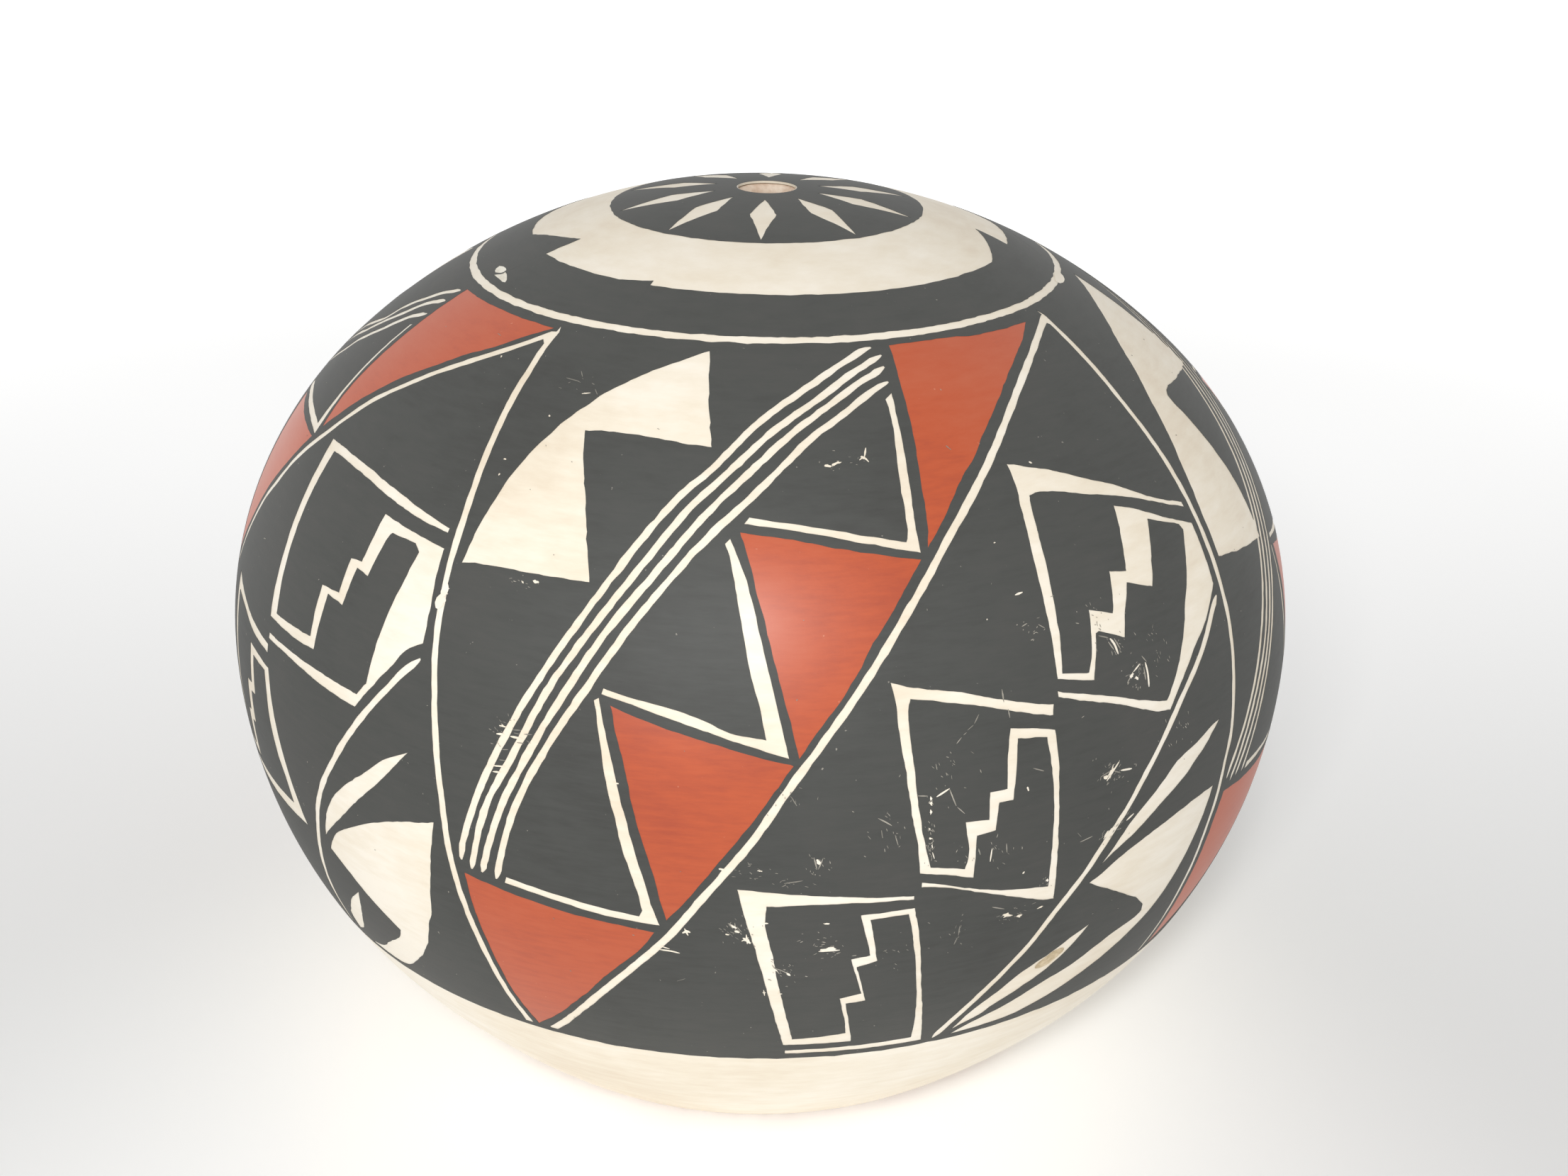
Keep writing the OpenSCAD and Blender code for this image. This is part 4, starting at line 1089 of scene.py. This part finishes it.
class JAR_OT_wear(bpy.types.Operator):
    """Nicks, scuffs and rubbed paint, a chip, a lump of slip and a brown stain"""

    bl_idname = "jar.wear"
    bl_label = "Wear"

    # blots that bare the slip: place, length and width in mm, slant in degrees
    BLOTS = [
        (9.5, 75.3, 1.3, 0.45, 5), (10.6, 74.9, 1.6, 0.5, -20), (14.0, 74.3, 1.1, 0.5, 40),
        (34.9, 78.7, 0.6, 0.3, 30), (26.5, 89.7, 0.3, 0.2, 0), (23.7, 100.4, 0.3, 0.2, 60),
        (38.6, 113.6, 1.2, 0.55, -40), (39.2, 114.2, 1.0, 0.5, 25), (16.8, 124.8, 0.7, 0.35, 80),
        (16.8, 125.5, 0.6, 0.45, 60), (16.8, 126.8, 0.8, 0.4, 85), (16.7, 129.4, 0.5, 0.2, 80),
        (16.8, 130.9, 0.5, 0.35, 30), (16.95, 132.2, 0.6, 0.2, 85), (7.0, 133.2, 0.9, 0.5, 60),
        (-1.2, 134.4, 0.8, 0.4, 10), (2.0, 134.5, 0.8, 0.2, 10), (35.2, 127.0, 1.6, 0.7, -35),
        (34.5, 127.5, 1.1, 0.6, 20), (26.0, 125.8, 0.8, 0.35, 70), (24.9, 147.1, 1.7, 0.95, 15),
        (26.2, 147.9, 1.0, 0.6, 5), (28.4, 147.3, 1.1, 0.4, -10), (-0.2, 144.3, 1.0, 0.4, 35),
        (0.1, 145.2, 0.9, 0.35, 20), (-0.75, 145.8, 0.6, 0.25, 0), (1.0, 146.9, 1.5, 0.7, 40),
        (7.9, 143.9, 0.9, 0.3, 5), (8.2, 148.9, 2.3, 0.8, -4), (4.7, 153.7, 1.0, 0.4, 50),
        (3.5, 152.7, 0.9, 0.3, 50), (28.7, 142.3, 0.7, 0.5, 80), (26.0, 139.7, 0.6, 0.3, -50),
        (-20.6, 95.9, 1.0, 0.5, 10), (-22.0, 96.3, 0.5, 0.25, 40), (-29.7, 78.9, 0.6, 0.25, 0),
        (-29.4, 81.4, 0.5, 0.3, 80), (-26.8, 70.4, 0.5, 0.25, 30), (-41.0, 62.5, 0.5, 0.3, 60),
        (35.0, 137.3, 1.2, 0.4, -45), (-30.1, 101.5, 0.9, 0.5, 70), (-30.4, 104.0, 1.2, 0.4, 75)]
    # scratches: width in mm, then the places that the stroke runs through
    SCRATCHES = [
        (0.28, (14.5, 72.6), (14.1, 74.1)), (0.25, (13.4, 74.6), (14.0, 74.2), (14.5, 75.0)),
        (0.3, (27.2, 97.7), (28.1, 97.5)), (0.15, (27.2, 102.3), (27.8, 102.0)),
        (0.12, (29.0, 102.5), (29.6, 103.2)), (0.12, (35.5, 106.3), (36.6, 107.0)),
        (0.35, (36.8, 107.2), (37.2, 108.3), (37.4, 109.8)), (0.15, (37.3, 107.4), (37.8, 109.2)),
        (0.15, (36.5, 107.6), (37.0, 109.0)), (0.3, (40.6, 112.4), (40.7, 114.2), (40.6, 116.2)),
        (0.15, (40.3, 113.0), (40.3, 115.0)), (0.2, (38.9, 113.1), (39.9, 112.3)),
        (0.12, (37.9, 114.4), (38.9, 113.0)), (0.16, (24.1, 110.5), (24.15, 112.4)),
        (0.16, (24.5, 113.5), (24.6, 114.8)), (0.12, (40.3, 111.3), (40.8, 112.4)),
        (0.14, (19.3, 117.2), (19.8, 116.4)), (0.14, (20.0, 116.1), (20.3, 115.8)),
        (0.12, (20.4, 115.5), (21.0, 114.9)), (0.12, (21.1, 114.7), (21.6, 113.5)),
        (0.14, (17.3, 119.7), (17.4, 120.6)), (0.14, (21.4, 121.5), (21.5, 122.0)),
        (0.14, (15.6, 124.1), (16.5, 124.3)), (0.25, (17.3, 124.6), (18.5, 123.6)),
        (0.14, (18.5, 123.7), (18.8, 125.1), (19.1, 126.4)), (0.1, (19.2, 126.6), (19.9, 127.8)),
        (0.14, (12.1, 126.9), (12.7, 127.5), (13.3, 128.2)), (0.12, (12.4, 128.8), (12.5, 130.0)),
        (0.1, (13.6, 129.7), (13.9, 131.4)), (0.1, (4.6, 123.0), (5.1, 124.4)),
        (0.2, (17.0, 133.2), (17.2, 134.3)), (0.14, (6.6, 132.4), (6.9, 134.4)),
        (0.14, (7.4, 132.6), (7.0, 134.4)), (0.1, (4.1, 136.6), (5.7, 136.2)),
        (0.25, (34.6, 128.2), (36.1, 125.8)), (0.2, (35.0, 127.9), (35.4, 125.9)),
        (0.15, (33.9, 127.2), (35.6, 126.6)), (0.3, (36.3, 127.3), (37.7, 127.7)),
        (0.15, (35.4, 126.9), (36.3, 127.7)), (0.12, (26.6, 122.9), (27.7, 123.7)),
        (0.14, (21.3, 133.8), (21.5, 134.9)), (0.2, (22.6, 134.2), (22.5, 136.4)),
        (0.12, (24.0, 133.9), (24.1, 135.4)), (0.12, (23.2, 144.8), (24.5, 145.7)),
        (0.12, (20.2, 147.2), (20.2, 149.1)), (0.12, (20.1, 149.6), (19.9, 150.8)),
        (0.2, (7.3, 149.2), (9.2, 149.1)), (0.14, (3.2, 151.7), (3.9, 153.6)),
        (0.14, (-0.7, 143.7), (0.2, 144.8)), (0.12, (-0.1, 143.6), (0.0, 145.6)),
        (0.2, (34.7, 138.1), (35.6, 136.6)), (0.3, (37.4, 136.3), (38.3, 135.6)),
        (0.1, (31.9, 137.1), (33.3, 136.8)), (0.12, (-27.6, 63.3), (-25.3, 63.5)),
        (0.2, (-23.9, 65.6), (-22.7, 65.2)), (0.14, (-22.3, 64.4), (-21.6, 65.3)),
        (0.1, (-25.9, 61.6), (-25.2, 62.6)), (0.12, (-45.9, 58.8), (-44.8, 59.0)),
        (1.3, (-30.4, 99.1), (-30.4, 100.1), (-30.5, 101.2)),
        (1.5, (-30.6, 100.8), (-30.6, 101.9), (-30.7, 103.0)),
        (0.2, (-30.2, 99.2), (-30.5, 99.5)), (0.2, (-29.9, 99.7), (-30.4, 100.1)),
        (0.2, (-29.9, 100.5), (-30.4, 100.8)), (0.2, (-31.0, 102.5), (-30.7, 102.1)),
        (0.3, (-21.7, 117.0), (-21.0, 117.0)), (0.35, (-21.9, 118.3), (-21.1, 118.1)),
        (0.2, (-21.5, 116.7), (-21.1, 117.1)), (0.3, (-20.5, 118.2), (-19.3, 118.2)),
        (0.12, (-20.3, 117.2), (-19.5, 117.0)), (0.12, (-19.2, 117.5), (-18.4, 117.3)),
        (0.2, (-22.0, 123.1), (-20.8, 122.8)), (0.25, (-22.0, 124.0), (-21.2, 123.8)),
        (0.12, (-19.8, 118.9), (-19.1, 118.8)), (0.12, (-18.9, 118.3), (-18.5, 118.6)),
        (0.12, (-21.2, 120.4), (-20.6, 120.2)), (0.12, (-21.4, 122.0), (-20.8, 121.9)),
        (0.12, (-20.2, 117.6), (-19.6, 117.6)), (0.4, (-10.7, 122.4), (-10.2, 122.4)),
        (0.5, (-4.7, 146.0), (-4.3, 145.6), (-4.0, 145.8)), (0.3, (-4.5, 145.1), (-4.2, 146.4)),
        (0.25, (-6.8, 149.6), (-5.8, 149.7), (-5.0, 150.0)), (0.2, (-6.7, 148.9), (-5.9, 149.3)),
        (0.5, (0.6, 146.4), (1.1, 146.8)), (0.3, (0.5, 147.0), (1.1, 146.3)),
        (0.25, (0.9, 145.7), (1.0, 147.5)), (0.4, (2.4, 143.6), (2.8, 143.6)),
        (0.4, (2.4, 157.7), (2.7, 157.7)), (0.2, (2.5, 157.1), (2.6, 158.4)),
        (0.4, (3.8, 158.0), (4.2, 158.0)), (0.2, (3.9, 157.4), (4.1, 158.9)),
        (0.15, (3.1, 150.5), (3.4, 150.8)), (0.12, (3.5, 152.4), (4.2, 153.0), (4.8, 153.8)),
        (0.15, (-0.6, 144.0), (-0.2, 144.6)), (0.15, (-0.1, 143.7), (0.0, 144.7)),
        (0.12, (0.1, 144.3), (0.5, 145.3)), (0.15, (-0.5, 145.3), (-0.1, 145.5))]
    # the two flakes of the chip, with the crack between them
    CHIP = [
        [(-68.4, 48.2), (-66.9, 47.8), (-65.4, 47.7), (-64.2, 47.9), (-64.0, 48.4),
         (-64.4, 48.9), (-65.3, 49.2), (-66.2, 49.45), (-67.2, 49.3), (-68.0, 48.9)],
        [(-63.4, 48.3), (-62.2, 48.4), (-60.8, 48.8), (-59.5, 49.3), (-59.0, 49.8),
         (-60.0, 50.0), (-61.5, 49.9), (-63.4, 49.9), (-65.2, 49.9), (-64.6, 49.5),
         (-63.7, 49.1), (-63.3, 48.7)]]
    # worn patches: place, width and height in mm, number of fine marks, slant in degrees
    RUBBED = [
        (35.2, 127.2, 7, 5, 34, -40), (25.4, 147.4, 7, 3, 26, 10), (0.0, 145.2, 5, 5, 30, 40),
        (8.2, 148.2, 7, 5, 26, 0), (39.2, 113.6, 5, 5, 26, -50), (37.3, 108.6, 4, 4, 14, 70),
        (16.9, 129.5, 2, 12, 30, 85), (7.0, 133.6, 4, 4, 18, 60), (18.5, 122.0, 10, 9, 20, 60),
        (4.6, 153.2, 5, 5, 18, 50), (12.6, 129.0, 6, 8, 18, 60), (20.3, 149.0, 4, 6, 16, 85),
        (1.0, 135.0, 8, 3, 16, 10), (5.0, 136.6, 7, 3, 14, 0), (23.0, 135.0, 8, 6, 20, 80),
        (10.5, 75.0, 7, 3, 12, 0), (36.0, 104.0, 9, 8, 22, 60), (42.5, 111.0, 5, 9, 20, 80),
        (28.5, 101.5, 9, 7, 14, -20), (36.5, 136.6, 8, 5, 20, -45), (-22.0, 96.6, 5, 2, 10, 0),
        (-25.0, 64.2, 6, 4, 8, 10), (4.5, 123.5, 6, 5, 12, 70), (14.0, 150.0, 10, 8, 14, 40),
        (44.0, 125.0, 8, 8, 16, 60), (-21.5, 118.0, 5, 5, 16, 40), (28.5, 142.5, 3, 3, 8, 80)]
    # the lump and the stain: place, then half the width and half the height, in mm
    LUMP = (79.5, 52.6, 3.4, 0.95)
    STAIN = (31.4, 160.1, 1.5, 1.3)
    # a scratch at least this wide, in mm, bares the slip
    DEEP = 0.2

    def execute(self, context):
        chance = random.Random(11)
        deep = [self.dab(*blot, chance) for blot in self.BLOTS]
        faint = [mark for worn in self.RUBBED for mark in self.rubbed(*worn, chance)]
        faint += [self.scuff(chance) for _ in range(context.scene.jar_looks.scuffs)]
        for width, *places in self.SCRATCHES:
            if width >= self.DEEP:
                deep.append(stroke(places, width, 0.3, 0.35))
            else:
                faint.append(stroke(places, width + 0.04, 0.3, 0.35))
        slip = stone_polished_slip()
        self.mark("rubbed_paint_marks", faint, RUBBED_LIFT, rubbed_black_paint(), False, 0)
        self.mark("scuffs_through_paint", deep, SCUFF_LIFT, slip, False, 0)
        self.mark("shoulder_chip", self.CHIP, CHIP_LIFT, chipped_slip(), True, 0.8, "clay")
        self.mark("slip_lump_on_shoulder_line", [shaky(oval(*self.LUMP), 1.2)], CHIP_LIFT, slip,
                  True, 1.0)
        self.mark("brown_stain_on_leaf", [shaky(oval(*self.STAIN, lean=-1.1), 1.5)], CHIP_LIFT,
                  stained_slip(), False, 1.0)
        return {"FINISHED"}

    @staticmethod
    def mark(name, outlines, lift, stuff, top, spacing, slot="coat"):
        """One piece of wear, made of small patches that lie on the paint."""
        patches = [patch(outline, (), top, spacing) for outline in outlines]
        fit_to_jar(layer_mesh(name, patches, lift, MARK_THICK, stuff), slot)

    @staticmethod
    def dab(lon, s, long, wide, slant, chance):
        """A ragged spot long mm by wide mm, its long way slanting from level."""
        k = size_at((lon, s))
        turn = Matrix.Rotation(math.radians(slant), 2)
        out = []
        for i in range(12):
            a = math.tau * i / 12
            far = chance.uniform(0.5, 1.25)
            p = turn @ Vector((long / 2 * math.cos(a) * far, wide / 2 * math.sin(a) * far))
            out.append((lon + p.x / k, s + p.y))
        return out

    def rubbed(self, lon, s, wide, high, count, slant, chance):
        """Fine marks crowded round a place that has been handled."""
        out = []
        for _ in range(count):
            away = Vector((chance.gauss(0, wide / 4), chance.gauss(0, high / 4)))
            long = chance.uniform(0.15, 0.7)
            lean = slant + chance.gauss(0, 25)
            out.append(self.dab(lon + away.x / size_at((lon, s)), s + away.y, long,
                                chance.uniform(0.06, 0.14), lean, chance))
        return out

    def scuff(self, chance):
        """A small mark anywhere on the band, now and then a longer one."""
        lon, s = chance.uniform(-180, 180), chance.uniform(58, 172)
        long = chance.uniform(0.15, 0.4) * (4 if chance.random() < 0.08 else 1)
        slant = chance.uniform(0, 180)
        return self.dab(lon, s, long, chance.uniform(0.08, 0.16), slant, chance)


class JAR_OT_stage(bpy.types.Operator):
    """Pale floor, two small flashes, a white surround and the camera"""

    bl_idname = "jar.stage"
    bl_label = "Stage"

    # camera found by fitting the pot's outline: place in mm, angles in degrees
    CAMERA_AT = (10.76, -315.98, 219.50)
    PITCH, YAW, ROLL = 24.279, -1.214, -0.964
    LENS, SENSOR = 42.59, 36.0
    # each flash: its place and its width, in m, and all are aimed at one point of the pot
    FLASH_AT, FLASH_SIZE = (-0.035, -0.61, 0.54), 0.1
    LEFT_AT, LEFT_SIZE = (-0.13, -0.62, 0.40), 0.08
    AIM = (0.0, 0.0, 0.07)
    # middle of the painted pool of flash light on the floor in front of the foot
    PAINTED_POOL_AT = (-0.01, -0.10, 0.0)

    def execute(self, context):
        stage = context.scene.jar_stage
        self.floor(stage.floor_size / 2)
        self.surround(context, stage.fill_level)
        self.lamp("flash_over_camera", self.FLASH_AT, self.FLASH_SIZE, stage.key_power)
        self.lamp("flash_at_left", self.LEFT_AT, self.LEFT_SIZE, stage.side_power)
        self.camera(context)
        context.scene.view_settings.view_transform = "Standard"
        return {"FINISHED"}

    def floor(self, h):
        """A square of card, 2 h wide."""
        mesh = bpy.data.meshes.new("pale_floor")
        mesh.from_pydata([(-h, -h, 0), (h, -h, 0), (h, h, 0), (-h, h, 0)], [], [(0, 1, 2, 3)])
        mesh.materials.append(self.white_card())
        placed("pale_floor", mesh)

    def white_card(self):
        """Smooth white card that glows with painted light: a painted pool of flash light before the
        foot.
        """
        # it glows plain white towards the back, far out all round, and in a painted pool of flash
        # light in front of the foot
        material, tree, place = new_material("white_card")
        card = add(tree, "ShaderNodeBsdfPrincipled", Base_Color=tint("#F1F1F0"), Roughness=0.9,
                   Specular_IOR_Level=0.2)
        depth = add(tree, "ShaderNodeSeparateXYZ", Vector=place).outputs["Y"]
        off = add(tree, "ShaderNodeVectorMath", {"operation": "DISTANCE"}, i0=place,
                  i1=self.PAINTED_POOL_AT).outputs["Value"]
        out = add(tree, "ShaderNodeVectorMath", {"operation": "LENGTH"}, i0=place).outputs["Value"]
        rear = reckon(tree, "ADD", fade(tree, depth, -0.15, 0.35, 0.0, 0.45),
                      fade(tree, out, 0.35, 1.0, 0.0, 0.6))
        # the painted pool of flash light in front of the foot, which also glows up onto the pot
        near = fade(tree, off, 0.05, 0.17, 0.17, 0.0)
        # painted bounce light: the pool glows more still for light thrown up under the pot,
        # stronger than plain white can show
        path = add(tree, "ShaderNodeLightPath")
        back = reckon(tree, "MULTIPLY", near, path.outputs["Is Diffuse Ray"])
        painted_glow_strength = reckon(tree, "MULTIPLY_ADD", back, 0.6, reckon(tree, "ADD", rear, near))
        painted_glow = add(tree, "ShaderNodeEmission", Color=(1, 1, 1, 1), Strength=painted_glow_strength)
        both = add(tree, "ShaderNodeAddShader", i0=card.outputs[0], i1=painted_glow.outputs[0])
        add(tree, "ShaderNodeOutputMaterial", Surface=both.outputs[0])
        return material

    def surround(self, context, level):
        """Even light from all round, which the camera and the sheen see as plain white."""
        world = bpy.data.worlds.new("white_surround")
        world.use_nodes = True
        tree = world.node_tree
        tree.nodes.clear()
        path = add(tree, "ShaderNodeLightPath").outputs
        seen = reckon(tree, "MAXIMUM", path["Is Camera Ray"], path["Is Glossy Ray"])
        seen = reckon(tree, "MAXIMUM", seen, path["Is Transmission Ray"])
        light = add(tree, "ShaderNodeBackground", Color=(1, 1, 1, 1), Strength=level)
        shown = add(tree, "ShaderNodeBackground", Color=(1, 1, 1, 1), Strength=1.0)
        mix = add(tree, "ShaderNodeMixShader", i0=seen, i1=light.outputs[0], i2=shown.outputs[0])
        add(tree, "ShaderNodeOutputWorld", Surface=mix.outputs[0])
        context.scene.world = world

    def lamp(self, name, place, size, power):
        """A small square flash aimed at the pot."""
        light = bpy.data.lights.new(name, "AREA")
        light.size, light.energy = size, power
        lamp = placed(name, light)
        lamp.location = place
        lamp.rotation_mode = "QUATERNION"
        lamp.rotation_quaternion = (Vector(self.AIM) - Vector(place)).to_track_quat("-Z", "Y")

    def camera(self, context):
        """The photo's camera."""
        pitch, yaw, roll = (math.radians(a) for a in (self.PITCH, self.YAW, self.ROLL))
        forward = Vector((math.sin(yaw) * math.cos(pitch), math.cos(yaw) * math.cos(pitch),
                          -math.sin(pitch)))
        right = Vector((math.cos(yaw), -math.sin(yaw), 0))
        down = forward.cross(right)
        across = right * math.cos(roll) + down * math.sin(roll)
        below = down * math.cos(roll) - right * math.sin(roll)
        data = bpy.data.cameras.new("photo_camera")
        data.lens, data.sensor_width, data.sensor_fit = self.LENS, self.SENSOR, "HORIZONTAL"
        data.clip_start, data.clip_end = 0.01, 50.0
        camera = placed("photo_camera", data)
        turn = Matrix((across, -below, -forward)).transposed()
        camera.matrix_world = Matrix.Translation(Vector(self.CAMERA_AT) * MM) @ turn.to_4x4()
        context.scene.camera = camera


class JAR_PT_panel(bpy.types.Panel):
    """Lists the jar's pieces and looks"""

    bl_idname = "JAR_PT_panel"
    bl_label = "Painted Seed Jar"
    bl_space_type = "VIEW_3D"
    bl_region_type = "UI"
    bl_category = "Seed Jar"

    def draw(self, context):
        layout = self.layout
        for group in (context.scene.jar_looks, context.scene.jar_stage):
            for name in group.__annotations__:
                layout.prop(group, name)
        for step in STEPS:
            layout.operator(step.bl_idname)


STEPS = (JAR_OT_clay, JAR_OT_slip, JAR_OT_sweeps, JAR_OT_frets, JAR_OT_reds, JAR_OT_top,
         JAR_OT_wear, JAR_OT_stage)
CLASSES = (JarLooks, StageLooks, *STEPS, JAR_PT_panel)


def register():
    for item in CLASSES:
        bpy.utils.register_class(item)
    bpy.types.Scene.jar_looks = PointerProperty(type=JarLooks)
    bpy.types.Scene.jar_stage = PointerProperty(type=StageLooks)


def unregister():
    del bpy.types.Scene.jar_stage
    del bpy.types.Scene.jar_looks
    for item in reversed(CLASSES):
        bpy.utils.unregister_class(item)


def main():
    register()
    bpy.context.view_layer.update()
    bpy.ops.jar.clay()
    bpy.ops.jar.slip()
    bpy.ops.jar.sweeps()
    bpy.ops.jar.frets()
    bpy.ops.jar.reds()
    bpy.ops.jar.top()
    bpy.ops.jar.wear()
    bpy.ops.jar.stage()


if __name__ == "__main__":
    main()
